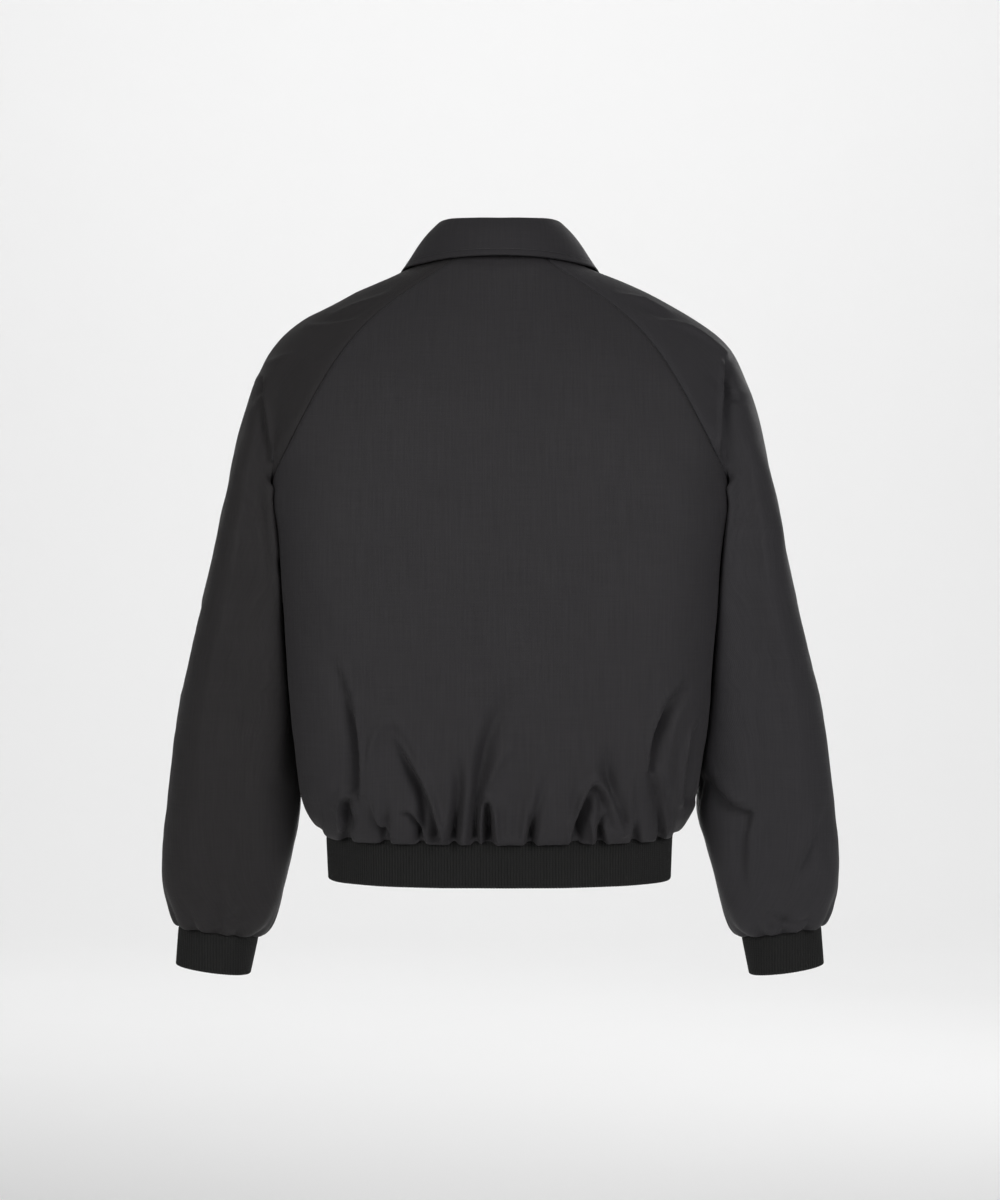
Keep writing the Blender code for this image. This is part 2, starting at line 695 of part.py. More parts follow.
def middle_line(front, rib):
    """Points down the front edge of a front panel and of the rib, and so down the zip."""
    panel = front.points[front.at[:, -1]]
    band = rib.points[rib.at[1:, -1]]
    return np.concatenate([panel, band])


def strip(line, xs, behind):
    return Sheet(np.stack([np.stack([0 * line[:, 0] + x, line[:, 1] + behind, line[:, 2]], axis=1) for x in xs], axis=1))


def cut_line(line, top, bottom):
    """The stretch of a line between two heights, with its ends on them."""
    levels = np.concatenate([[top], line[(line[:, 2] < top - 3) & (line[:, 2] > bottom + 3), 2], [bottom]])
    return np.stack([np.interp(-levels, -line[:, 2], line[:, k]) for k in range(3)], axis=1)


def block(size, middle, turned=0.0):
    """A box in millimetres, turned about X round its own middle."""
    mesh = bmesh.new()
    bmesh.ops.create_cube(mesh, size=1)
    bmesh.ops.scale(mesh, vec=size, verts=mesh.verts)
    bmesh.ops.rotate(mesh, matrix=Matrix.Rotation(turned, 3, "X"), verts=mesh.verts)
    bmesh.ops.translate(mesh, vec=middle, verts=mesh.verts)
    return mesh


def rod(radius, length, middle):
    """A round bar along X."""
    mesh = bmesh.new()
    bmesh.ops.create_cone(
        mesh, cap_ends=True, segments=16, radius1=radius, radius2=radius, depth=length
    )
    bmesh.ops.rotate(mesh, matrix=Matrix.Rotation(math.pi / 2, 3, "Y"), verts=mesh.verts)
    bmesh.ops.translate(mesh, vec=middle, verts=mesh.verts)
    return mesh


def helper(name, mesh):
    """A shape that another one adds or cuts away."""
    solid = in_metres(name, mesh)
    solid.hide_render = True
    solid.display_type = "WIRE"
    return solid


def combine(solid, other, operation):
    step = solid.modifiers.new(other.name, "BOOLEAN")
    step.operation = operation
    step.solver = "EXACT"
    step.object = other


def on_slope(middle, slope, along_y, along_z):
    """A place beside middle, in directions that follow the front's slope."""
    y = along_y * math.cos(slope) - along_z * math.sin(slope)
    z = along_y * math.sin(slope) + along_z * math.cos(slope)
    return np.array((0, middle[1] + y, middle[2] + z))


def zip_pieces(line):
    """Tapes, joined chain, slider at the top, its pull, and the box at the bottom."""
    tape = strip(line, (TAPE_OUTER_X, TAPE_INNER_X), TAPE_BEHIND)
    wall("zip_tape_left", tape, TAPE_THICK, TAPE)
    wall("zip_tape_right", tape.mirrored(), TAPE_THICK, TAPE)
    chain_line = cut_line(line, CHAIN_TOP_Z, CHAIN_BOTTOM_Z)
    chain = strip(chain_line, (CHAIN_HALF_WIDTH, -CHAIN_HALF_WIDTH), TAPE_BEHIND - CHAIN_AHEAD)
    wall("zip_chain", chain, CHAIN_THICK, ZIP_METAL, gap=0)

    near = cut_line(line, SLIDER_Z + SLIDER_SIZE[2] / 2, SLIDER_Z - SLIDER_SIZE[2] / 2)
    slope = math.atan2(near[-1, 1] - near[0, 1], near[0, 2] - near[-1, 2])
    front_of_tape = near[[0, -1]].mean(axis=0) + (0, TAPE_BEHIND, 0)
    middle = on_slope(front_of_tape, slope, -(SLIDER_SIZE[1] / 2 + 2 * SEAM_GAP), 0)
    pin = on_slope(middle, slope, -(SLIDER_SIZE[1] / 2 + PIN_STANDS), 2)
    slider = in_metres("zip_slider", block(SLIDER_SIZE, middle, slope))
    for side in (-1, 1):
        place = on_slope(middle, slope, -(SLIDER_SIZE[1] + LUG_SIZE[1]) / 2 + 0.2, 2) + (side * LUG_X, 0, 0)
        combine(slider, helper(f"lug_{side}", block(LUG_SIZE, place, slope)), "UNION")
    combine(slider, helper("pull_pin", rod(PIN_RADIUS, 2 * LUG_X, pin)), "UNION")

    pull = in_metres("zip_pull", rod(EYE_RADIUS, EYE_WIDTH, pin))
    neck_size = (EYE_WIDTH - 0.6, PULL_SIZE[1], PULL_NECK)
    neck = on_slope(pin, slope, 0, -(EYE_RADIUS + PULL_NECK / 2) + 0.6)
    plate = on_slope(pin, slope, 0, -(EYE_RADIUS + PULL_NECK + PULL_SIZE[2] / 2) + 1)
    combine(pull, helper("pull_neck", block(neck_size, neck, slope)), "UNION")
    combine(pull, helper("pull_plate", block(PULL_SIZE, plate, slope)), "UNION")
    combine(pull, helper("pull_bore", rod(PIN_RADIUS + EYE_CLEAR, EYE_WIDTH + 2, pin)), "DIFFERENCE")

    low = line[-1] + (-line[-1][0], TAPE_BEHIND - BOX_SIZE[1] / 2 - 2 * SEAM_GAP, BOX_SIZE[2] / 2 + 1)
    in_metres("zip_box", block(BOX_SIZE, low))


def main():
    for old in list(bpy.data.objects):
        bpy.data.objects.remove(old, do_unlink=True)
    back = back_sheet()
    front_left, front_right = front_sheet(1), front_sheet(-1)
    sleeve_left = sleeve_sheet()
    sleeve_right = sleeve_left.mirrored()
    shell = (back, front_left, front_right, sleeve_left, sleeve_right)
    left_hem = front_left.points[front_left.at[-1]]
    back_hem = back.points[back.at[-1]]
    rib = hem_rib_sheet(np.concatenate([(left_hem[::-1] * (-1, 1, 1))[:-1], back_hem[:-1], left_hem]))
    stand, leaf = collar_sheets()
    cuff_left = cuff_sheet(sleeve_left)
    share_seam_normals((*shell, rib, cuff_left, cuff_left.mirrored()))
    wall("back", back, SHELL_THICK, CLOTH)
    wall("front_left", front_left, SHELL_THICK, CLOTH)
    wall("front_right", front_right, SHELL_THICK, CLOTH)
    wall("sleeve_left", sleeve_left, SHELL_THICK, SLEEVE_CLOTH)
    wall("sleeve_right", sleeve_right, SHELL_THICK, SLEEVE_CLOTH)
    wall("cuff_left", cuff_left, RIB_THICK, RIB_KNIT)
    wall("cuff_right", cuff_left.mirrored(), RIB_THICK, RIB_KNIT)
    wall("hem_rib", rib, RIB_THICK, RIB_KNIT)
    wall("collar_stand", stand, COLLAR_THICK, COLLAR_CLOTH)
    wall("collar_leaf", leaf, COLLAR_THICK, COLLAR_CLOTH)
    zip_pieces(middle_line(front_left, rib))


main()
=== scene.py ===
"""Looks of a black bomber jacket, filled out as when worn: raglan sleeves, folded collar, rib hem and cuffs, zip.

The wearer faces -Y and +X is the wearer's left. Tables hold millimetres and meshes hold metres. Each cloth piece
is the outside of its own solid, made fine and smooth, then creased and given its thickness again.
"""

import functools
import math

import bmesh
import bpy
import numpy as np
from mathutils import Matrix, Vector, kdtree
from mathutils.bvhtree import BVHTree


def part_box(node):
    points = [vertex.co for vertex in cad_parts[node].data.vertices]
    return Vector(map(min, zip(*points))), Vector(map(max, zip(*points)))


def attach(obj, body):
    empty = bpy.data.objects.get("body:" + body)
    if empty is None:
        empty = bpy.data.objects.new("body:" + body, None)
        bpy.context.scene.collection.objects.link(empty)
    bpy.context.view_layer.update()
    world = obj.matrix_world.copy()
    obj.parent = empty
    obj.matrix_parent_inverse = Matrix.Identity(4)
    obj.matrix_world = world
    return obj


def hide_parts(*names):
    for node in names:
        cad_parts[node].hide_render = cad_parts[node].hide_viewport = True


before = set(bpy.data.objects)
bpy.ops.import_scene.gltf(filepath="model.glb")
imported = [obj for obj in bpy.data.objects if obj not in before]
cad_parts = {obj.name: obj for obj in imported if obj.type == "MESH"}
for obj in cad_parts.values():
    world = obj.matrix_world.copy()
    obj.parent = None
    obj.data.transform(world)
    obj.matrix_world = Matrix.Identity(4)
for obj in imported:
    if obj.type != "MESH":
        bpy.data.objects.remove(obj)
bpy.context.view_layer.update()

# ---- Back panel ----
# The back is one panel of tightly woven polyester and cotton, from raglan seam to raglan seam and down to the hem
# rib. It is cut wider than the rib and gathered to it, so that it puffs out over the band in uneven tucks.

MM = 0.001
SHELL_WALL = 2.4
WELD = 0.01
JUST_INSIDE = 0.05
WALL_REACH = 1.7
OTHER_FACE = -0.5
RIM_ANGLE = math.radians(50)
JOIN_FLAT = math.radians(60)
JOIN_SHAPE = math.radians(80)


def opened(data):
    """A copy of a mesh, ready for bmesh operators."""
    mesh = bmesh.new()
    mesh.from_mesh(data)
    return mesh


def outside_of(node, wall):
    """The outer face of a cloth solid as one sheet, with its rim and its inner face taken off."""
    mesh = opened(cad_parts[node].data)
    bmesh.ops.remove_doubles(mesh, verts=mesh.verts, dist=WELD * MM)
    solid = BVHTree.FromBMesh(mesh)
    rim = []
    for face in mesh.faces:
        inside = face.calc_center_median() - face.normal * JUST_INSIDE * MM
        _, through, _, _ = solid.ray_cast(inside, -face.normal, WALL_REACH * wall * MM)
        if through is None or through.dot(face.normal) > OTHER_FACE:
            rim.append(face)
    bmesh.ops.delete(mesh, geom=rim, context="FACES")
    left, sheets = set(mesh.faces), []
    while left:
        sheet, edge = set(), {next(iter(left))}
        while edge:
            sheet |= edge
            left -= edge
            ways = {e for f in edge for e in f.edges if len(e.link_faces) == 2}
            ways = {e for e in ways if e.calc_face_angle_signed() < RIM_ANGLE}
            edge = {g for e in ways for g in e.link_faces if g in left}
        sheets.append(sheet)
    outer = max(sheets, key=lambda sheet: sum(f.calc_area() for f in sheet))
    bmesh.ops.delete(mesh, geom=[f for f in mesh.faces if f not in outer], context="FACES")
    bmesh.ops.holes_fill(mesh, edges=[e for e in mesh.edges if e.is_boundary], sides=4)
    bmesh.ops.join_triangles(
        mesh, faces=mesh.faces, angle_face_threshold=JOIN_FLAT, angle_shape_threshold=JOIN_SHAPE
    )
    return mesh


def placed(name, data):
    piece = bpy.data.objects.new(name, data)
    bpy.context.scene.collection.objects.link(piece)
    return piece


def add_piece(name, mesh):
    """Puts a finished bmesh into the scene."""
    data = bpy.data.meshes.new(name)
    mesh.to_mesh(data)
    mesh.free()
    data.shade_smooth()
    return placed(name, data)


def made_fine(name, mesh, levels):
    """A sheet's facets rounded off and divided, as a mesh with no modifier left on it."""
    piece = add_piece(name, mesh)
    step = piece.modifiers.new("fine", "SUBSURF")
    step.levels = step.render_levels = levels
    step.boundary_smooth = "PRESERVE_CORNERS"
    fine = bpy.data.meshes.new_from_object(piece.evaluated_get(bpy.context.evaluated_depsgraph_get()))
    piece.modifiers.clear()
    piece.data = fine
    return piece


def divide_level_edges(piece, below, cuts):
    """Adds columns to a sheet below a height, where its folds are the finest."""
    mesh = opened(piece.data)
    faces = [f for f in mesh.faces if f.calc_center_median().z < below * MM]
    level = {
        e for f in faces for e in f.edges
        if abs(e.verts[0].co.z - e.verts[1].co.z) < 0.5 * e.calc_length()
        and all(v.co.z < below * MM + 1e-6 for v in e.verts)
    }
    bmesh.ops.subdivide_edges(mesh, edges=list(level), cuts=cuts, use_grid_fill=True)
    mesh.to_mesh(piece.data)
    mesh.free()


def points_of(piece):
    """A sheet's points and normals, in millimetres."""
    count = len(piece.data.vertices)
    points = np.empty(count * 3)
    piece.data.vertices.foreach_get("co", points)
    normals = np.empty(count * 3, np.float32)
    piece.data.vertex_normals.foreach_get("vector", normals)
    return points.reshape(-1, 3) / MM, normals.reshape(-1, 3).astype(float)


def put_points(piece, points):
    piece.data.vertices.foreach_set("co", (points * MM).ravel())
    piece.data.update()


def smooth_step(low, high, value):
    """0 at low, 1 at high, with soft ends. Low may lie above high."""
    share = np.clip((value - low) / (high - low), 0, 1)
    return share * share * (3 - 2 * share)


def distances(points, places):
    """How far each point lies from the nearest of these places."""
    tree = kdtree.KDTree(len(places))
    for k, place in enumerate(places):
        tree.insert(place, k)
    tree.balance()
    return np.array([tree.find(p)[2] for p in points])


RIM_STEPS = 3


def rim_distance(piece, points, keep=lambda p: True):
    """How far each point lies from the sheet's own rim, or from the part of it that keep picks."""
    mesh = opened(piece.data)
    rim = [[np.array(v.co) / MM for v in e.verts] for e in mesh.edges if e.is_boundary]
    mesh.free()
    rim = [(a, b) for a, b in rim if keep((a + b) / 2)]
    return distances(points, [a + (b - a) * j / RIM_STEPS for a, b in rim for j in range(RIM_STEPS)])


SLICES = 70
SLICE_OVERLAP = 0.75
TURN_STEPS = 90


def way_round(down, turn, across, slices):
    """How far each point lies round its piece from turn 0, along slices, and each slice's whole length."""
    edges = np.linspace(down.min(), down.max(), slices)
    spread = edges[1] - edges[0]
    lengths = []
    for at in edges:
        near = np.abs(down - at) <= spread * SLICE_OVERLAP
        place = np.clip(((turn[near] + math.pi) / (2 * math.pi) * TURN_STEPS).astype(int), 0, TURN_STEPS - 1)
        count = np.bincount(place, minlength=TURN_STEPS)
        used = count > 0
        middle = [np.bincount(place, w, TURN_STEPS)[used] / count[used] for w in across[near].T]
        middle = np.stack(middle, axis=1)
        angle = np.bincount(place, turn[near], TURN_STEPS)[used] / count[used]
        length = np.concatenate([[0], np.cumsum(np.linalg.norm(np.diff(middle, axis=0), axis=1))])
        lengths.append((angle, length - np.interp(0, angle, length), length[-1]))
    place = np.clip(((down - edges[0]) / spread).astype(int), 0, slices - 2)
    share = (down - edges[0]) / spread - place
    found, whole = np.zeros(len(down)), np.zeros(len(down))
    for k in range(slices - 1):
        here = place == k
        ends = [np.interp(turn[here], *lengths[j][:2]) for j in (k, k + 1)]
        found[here] = ends[0] * (1 - share[here]) + ends[1] * share[here]
        whole[here] = lengths[k][2]
    return found, whole


def set_grain(piece, down, turn, across, slices=SLICES):
    """Lays the cloth's warp down the piece: U runs round it and V down it, in metres on the cloth."""
    round_it, whole = way_round(down, turn, across, slices)
    data = piece.data
    corners = np.empty(len(data.loops), np.int32)
    data.loops.foreach_get("vertex_index", corners)
    sizes = np.empty(len(data.polygons), np.int32)
    data.polygons.foreach_get("loop_total", sizes)
    starts = np.concatenate([[0], np.cumsum(sizes)[:-1]])
    high = np.repeat(np.maximum.reduceat(turn[corners], starts), sizes)
    low = np.repeat(np.minimum.reduceat(turn[corners], starts), sizes)
    over = (high - low > math.pi) & (turn[corners] < 0)
    u = round_it[corners] + np.where(over, whole[corners], 0)
    grain = data.uv_layers.new(name="grain")
    grain.data.foreach_set("uv", (np.stack([u, down[corners]], axis=1) * MM).ravel())
    return round_it


# A crease runs from its top, through its middle, to its foot, as seen square on. Depth is down into the cloth,
# and a minus depth stands up. lean is the side on which a trough is steep and the cloth beside it rises: -1 or 1,
# or 0 for both alike.
CREASE_COLUMNS = (
    "top", "top_z", "middle", "middle_z", "foot", "foot_z", "top_width", "foot_width",
    "top_depth", "middle_depth", "foot_depth", "lean",
)
CREASE_STEPS = 40
CREASE_REACH = 4.5
END_EASE = 0.8
TROUGH_SHAPE = 1.6
RIDGE_AWAY = 2.0
RIDGE_WIDTH = 1.1
RIDGE_SHARE = 0.4
STEEP = 0.5
GENTLE = 1.7


def creased(points, normals, creases, seen, share=1.0):
    """Moves points along their normals by a table of creases. seen is the level axis that they are laid along."""
    flat = np.stack([points[:, seen], points[:, 2]], axis=1)
    moved = np.zeros(len(points))
    for row in creases:
        c = dict(zip(CREASE_COLUMNS, row))
        ends = np.array([(c["top"], c["top_z"]), (c["foot"], c["foot_z"])], float)
        bend = 2 * np.array((c["middle"], c["middle_z"])) - ends.mean(axis=0)
        t = np.linspace(0, 1, CREASE_STEPS + 1)[:, None]
        path = ends[0] * (1 - t) ** 2 + 2 * bend * t * (1 - t) + ends[1] * t * t
        along = np.gradient(path, axis=0)
        step = np.linalg.norm(along, axis=1, keepdims=True)
        along = along / step
        reach = CREASE_REACH * max(c["top_width"], c["foot_width"])
        near = np.all((flat > path.min(axis=0) - reach) & (flat < path.max(axis=0) + reach), axis=1)
        near = np.flatnonzero(near)
        if not len(near):
            continue
        away = flat[near][:, None] - path[None]
        k = np.argmin((away ** 2).sum(axis=2), axis=1)
        offset = away[np.arange(len(near)), k]
        forward = (offset * along[k]).sum(axis=1)
        aside = offset[:, 0] * along[k, 1] - offset[:, 1] * along[k, 0]
        place = np.clip((k + forward / step[k, 0]) / CREASE_STEPS, 0, 1)
        past = np.where((k == 0) & (forward < 0) | (k == CREASE_STEPS) & (forward > 0), np.abs(forward), 0)
        width = c["top_width"] + (c["foot_width"] - c["top_width"]) * place
        depth = np.interp(place, (0, 0.5, 1), (c["top_depth"], c["middle_depth"], c["foot_depth"]))
        ease = np.exp(-(past / (END_EASE * width)) ** 2)
        leant = aside * (c["lean"] or 1)
        if c["lean"]:
            width = width * np.where(leant > 0, STEEP, GENTLE)
        trough = np.exp(-np.abs(aside / width) ** TROUGH_SHAPE)
        ridge = np.exp(-((np.abs(leant) - RIDGE_AWAY * width) / (RIDGE_WIDTH * width)) ** 2)
        ridge = RIDGE_SHARE * ridge * (np.where(leant > 0, 1, 0) if c["lean"] else 0.5)
        moved[near] -= depth * ease * (trough - np.where(depth > 0, ridge, 0))
    return points + normals * (moved * share)[:, None]


# Tucks at a gathered seam: where each is pinched in, how wide the pinch is and how far the cloth is held back.
TUCK_COLUMNS = ("at", "half_width", "pinch")
PUFF_OUT = 5.5
PUFF_OUT_AT = 12
PUFF_DOWN = 8.5
PUFF_DOWN_AT = 7


def puffed(points, normals, above, along, tucks, down, size=1.0):
    """Lets the cloth between a gathered seam's tucks roll out and down over the rib."""
    full = np.ones(len(points))
    for at, half_width, pinch in tucks:
        full = np.minimum(full, 1 - pinch * np.exp(-np.abs((along - at) / half_width) ** 2))
    out = above / PUFF_OUT_AT * np.exp(1 - above / PUFF_OUT_AT) * PUFF_OUT
    drop = above / PUFF_DOWN_AT * np.exp(1 - above / PUFF_DOWN_AT) * PUFF_DOWN
    level = normals - (normals @ down)[:, None] * down
    level = level / np.maximum(np.linalg.norm(level, axis=1, keepdims=True), 0.2)
    return points + level * (size * out * full)[:, None] + down * (size * drop * full)[:, None]


DITCH_DEPTH = 1.1
DITCH_WIDTH = 2.6
SWELL = 0.7
SWELL_AT = 9
ARMHOLE_SHUT = (-212, -185)
ARMHOLE_BEYOND = 150


def seamed(points, normals, away):
    """Sinks a sheet along its seams, with the slight swell beside them that a turned seam gives. Where the armhole
    seam lies in the sharp crease under the arm, there is neither."""
    ditch = DITCH_DEPTH * np.exp(-((away / DITCH_WIDTH) ** 2))
    swell = SWELL * away / SWELL_AT * np.exp(1 - away / SWELL_AT)
    open_seam = np.where(np.abs(points[:, 0]) > ARMHOLE_BEYOND, smooth_step(*ARMHOLE_SHUT, points[:, 2]), 1)
    return points + normals * ((swell - ditch) * open_seam)[:, None]


# Waves: length, rise, and the way that each runs.
WAVES = (
    (150, 0.55, (0.8, 0.3, 0.5)),
    (95, 0.35, (-0.3, 0.5, 0.8)),
    (61, 0.22, (0.9, -0.2, -0.3)),
    (37, 0.12, (0.4, 0.6, -0.7)),
    (23, 0.07, (-0.7, 0.4, 0.6)),
)


WAVE_DRIFT = 7
WAVE_DRIFT_OVER = 170
CALM_BY_SEAM = 25


def uneven(points, normals, away, size=1.0):
    """Long, low waves across the cloth, each drifting with the height, that die out beside the seams."""
    height = np.zeros(len(points))
    for length, rise, way in WAVES:
        drift = WAVE_DRIFT * np.sin(points[:, 2] / WAVE_DRIFT_OVER + length)
        height += rise * np.sin(2 * math.pi * (points @ np.array(way)) / length + drift)
    return points + normals * (height * size * smooth_step(0, CALM_BY_SEAM, away))[:, None]


HEM_Z = -567
HEM_CLEAR = 9
BACK_CREASES = (
    (160, -393, 141, -452, 137, -520, 4.5, 4.5, 0.5, 6.5, 6, 1),
    (142, -526, 151, -534, 147, -549, 4, 4.5, 1, 6, 8, -1),
    (161, -534, 149, -519, 136, -521, 3, 3, -0.8, -1.8, -1.2, 0),
    (124, -530, 120, -545, 108, -556, 4, 3.5, 0.5, 3.5, 7, 1),
    (126, -525, 121, -470, 102, -449, 5, 5, -2, -2.6, -1, 0),
    (104, -470, 80, -507, 59, -557, 6, 4.5, 1, 8, 8.5, 1),
    (99, -452, 78, -485, 54, -555, 4, 4, -1.4, -2.4, -2, 0),
    (91, -539, 82, -544, 76, -560, 3.2, 3.2, 3, 5, 6.5, 1),
    (73, -534, 72, -542, 71, -551, 3.5, 3.5, 1, 2.8, 2, 0),
    (43, -484, 39, -512, 44, -558, 7, 4, 0.3, 5, 7.5, 0),
    (-8, -426, 14, -480, 24, -558, 9, 5.5, 0.8, 6.4, 6.5, 0),
    (-7, -478, 11, -507, 19, -537, 4.5, 4, -1.2, -2.6, -1, 0),
    (12, -532, 11, -548, 11, -564, 4.4, 4.8, 5, 10, 9.5, 0),
    (20, -557, 11, -524, 2, -557, 2.8, 2.8, -1.5, -3, -1.5, 0),
    (-2, -532, -2, -542, -2, -553, 3.5, 3.5, 0.6, 1.8, 1.4, 0),
    (-21, -488, -19, -528, -16, -551, 7, 5, 0.3, 2, 1.6, 0),
    (-36, -473, -32, -516, -25, -551, 6, 4.5, -0.8, -1.6, -1.4, 0),
    (-43, -507, -36, -532, -29, -562, 5, 3.5, 0.5, 3.2, 6.5, 0),
    (-89, -516, -80, -534, -71, -558, 4.5, 6, 3, 8.5, 8.5, -1),
    (-91, -518, -99, -530, -105, -549, 4.5, 5, 3, 5, 3, 0),
    (-67, -560, -90, -508, -117, -553, 3.6, 3.6, -1.5, -3.2, -2.6, 0),
    (-86, -541, -88, -549, -90, -557, 4, 4, -1.5, -3.4, -2, 0),
    (-101, -543, -96, -551, -91, -558, 2, 2, 1.5, 3.2, 2.5, 0),
    (-96, -556, -96, -560, -96, -565, 3, 3, 5, 7, 7, 0),
    (-101, -472, -105, -509, -119, -547, 7, 4.5, 0.3, 5, 4.4, 0),
    (-125, -501, -125, -526, -125, -551, 5, 5, -0.8, -2, -2.2, 0),
    (-177, -419, -153, -452, -145, -497, 5, 4, 3, 10, 4.2, -1),
    (-146, -498, -151, -518, -154, -555, 4.4, 5, 2.4, 5, 3.4, 1),
    (-176, -435, -163, -469, -161, -516, 5, 5, -0.8, -2.2, -1, 0),
    (-192, -458, -184, -484, -181, -530, 5, 6, 1.6, 8, 7, -1),
)
BACK_TUCKS = (
    (176, 4, 0.7), (147, 4.5, 0.95), (109, 4, 0.95), (75, 3.5, 0.9), (44, 3.5, 0.7), (23, 3.5, 0.8),
    (11.5, 4.5, 1), (-29, 3.8, 0.95), (-72, 4.5, 0.9), (-96, 3.8, 1), (-129, 3.6, 0.95), (-154, 3.6, 0.8),
    (-172, 4, 0.7),
)
SIDE_DRAWN = 0.8
SIDE_BAND = (150, 192)
FOLD_DEPTH = 1.6
FOLDS_BELOW = -440
BESIDE_ARM = (-205, -250)
NO_SEAM = 60
SHEET_WALL = 1.3
QUARTER_FILL = 4.5


def squared(points, normals, hold):
    """Fills out the quarters of a tube of cloth, whose sides lie flatter than a true round."""
    corner = smooth_step(0.12, 0.46, np.abs(normals[:, 0] * normals[:, 1]))
    return points + normals * (QUARTER_FILL * corner * hold)[:, None]


def hem_above(points):
    return np.clip(points[:, 2] - HEM_Z, 0, None)


def body_turn(points, facing):
    """The way round the body from its middle back (facing 1) or middle front (-1)."""
    return np.arctan2(points[:, 0] * facing, points[:, 1] * facing * 1.4)


def body_panel(node, creases, tucks, facing):
    """A back or front: its solid's outside, gathered into the hem rib, with its creases, seams and grain."""
    panel = made_fine(f"{node}_cloth", outside_of(node, SHELL_WALL), 3)
    divide_level_edges(panel, FOLDS_BELOW, 1)
    points, normals = points_of(panel)
    set_grain(panel, points[:, 2], body_turn(points, facing), points[:, :2])
    away = rim_distance(panel, points)
    off_hem = rim_distance(panel, points, lambda p: p[2] > HEM_Z + 2)
    above = hem_above(points)
    held = smooth_step(0, HEM_CLEAR, above) * smooth_step(0, 12, off_hem)
    beside_arm = smooth_step(*BESIDE_ARM, points[:, 2]) * smooth_step(20, 60, above)
    points = squared(points, normals, held * beside_arm)
    points = creased(points, normals * held[:, None], creases, 0, FOLD_DEPTH)
    points = uneven(points, normals, away)
    points = seamed(points, normals, np.where(above < 3, NO_SEAM, off_hem))
    down = np.array((0.0, 0, -1))
    beside = 1 - SIDE_DRAWN * smooth_step(*SIDE_BAND, np.abs(points[:, 0]))
    rolling = normals * smooth_step(0, 10, off_hem)[:, None]
    points = puffed(points, rolling, above, points[:, 0], tucks, down, beside)
    put_points(panel, points)
    return panel


def give_thickness(piece, wall):
    step = piece.modifiers.new("thickness", "SOLIDIFY")
    step.thickness = wall * MM
    step.offset = -1
    step.use_quality_normals = True


back = body_panel("back", BACK_CREASES, BACK_TUCKS, 1)
give_thickness(back, SHEET_WALL)


def effect(name, inputs, outputs):
    """An empty shader effect with named inputs (and their values) and outputs, ready for its nodes and links."""
    group = bpy.data.node_groups.new(name, "ShaderNodeTree")
    for label, kind, value in inputs:
        socket = group.interface.new_socket(name=label, in_out="INPUT", socket_type=f"NodeSocket{kind}")
        if value is not None:
            socket.default_value = value
    for label, kind in outputs:
        group.interface.new_socket(name=label, in_out="OUTPUT", socket_type=f"NodeSocket{kind}")
    return group, group.nodes.new("NodeGroupInput"), group.nodes.new("NodeGroupOutput")


def put(tree, kind, links=(), **values):
    """A node with its settings. links are (its input, the socket that feeds it or a plain value)."""
    node = tree.nodes.new(f"ShaderNode{kind}")
    for label, value in values.items():
        setattr(node, label, value)
    for socket, source in links:
        if isinstance(source, bpy.types.NodeSocket):
            tree.links.new(source, node.inputs[socket])
        else:
            node.inputs[socket].default_value = source
    return node


def sums(tree, operation, *values):
    return put(tree, "Math", enumerate(values), operation=operation).outputs[0]


def arithmetic(tree):
    """Plus, less and times, for one effect's values."""
    return [functools.partial(sums, tree, operation) for operation in ("ADD", "SUBTRACT", "MULTIPLY")]


def noise(tree, place, scale, detail, roughness=0.5):
    settings = [("Vector", place), ("Scale", scale), ("Detail", detail), ("Roughness", roughness)]
    return put(tree, "TexNoise", settings).outputs["Fac"]


def drawn_out(tree, grain, across, along):
    """The grain at its own scale each way, for a pattern that runs with the yarns."""
    return put(tree, "VectorMath", [(0, grain), (1, (across, along, 1.0))], operation="MULTIPLY").outputs[0]


def shaded(tree, colour, light):
    return put(tree, "VectorMath", [(0, colour), ("Scale", light)], operation="SCALE").outputs[0]


PER_METRE = 2 * math.pi * 1000


def woven():
    """Fine warp and weft, slubs that run down the cloth, and the slow mottling of a dyed and pressed cloth."""
    group, given, result = effect(
        "woven_cloth",
        (("Grain", "Vector", None), ("Colour", "Color", (0.03, 0.03, 0.03, 1)), ("Yarn", "Float", 0.8),
         ("Slub", "Float", 0.12), ("Mottle", "Float", 0.06), ("Roughness", "Float", 0.7)),
        (("Colour", "Color"), ("Roughness", "Float"), ("Height", "Float")),
    )
    plus, less, times = arithmetic(group)
    grain = given.outputs["Grain"]
    spot = put(group, "SeparateXYZ", [(0, grain)])
    turns = sums(group, "DIVIDE", PER_METRE, given.outputs["Yarn"])
    bow = noise(group, grain, 90.0, 1.0)
    warp = sums(group, "SINE", plus(times(spot.outputs["X"], turns), times(bow, 3.0)))
    weft = sums(group, "SINE", plus(times(spot.outputs["Y"], turns), warp))
    yarns = sums(group, "MAXIMUM", warp, times(weft, 0.55))
    slubs = noise(group, drawn_out(group, grain, 620.0, 18.0), 1.0, 3.0, 0.62)
    weft_slubs = noise(group, drawn_out(group, grain, 24.0, 900.0), 1.0, 2.0)
    mottling = noise(group, grain, 14.0, 4.0, 0.6)
    streak = plus(less(slubs, 0.5), times(less(weft_slubs, 0.5), 0.5))
    cloud = times(less(mottling, 0.5), given.outputs["Mottle"])
    fine = times(yarns, times(given.outputs["Slub"], 0.35))
    light = plus(plus(plus(times(streak, given.outputs["Slub"]), cloud), fine), 1.0)
    worn = plus(given.outputs["Roughness"], times(streak, -0.25))
    group.links.new(shaded(group, given.outputs["Colour"], light), result.inputs["Colour"])
    group.links.new(plus(worn, times(cloud, -0.6)), result.inputs["Roughness"])
    group.links.new(plus(times(yarns, 0.5), times(streak, 1.2)), result.inputs["Height"])
    return group


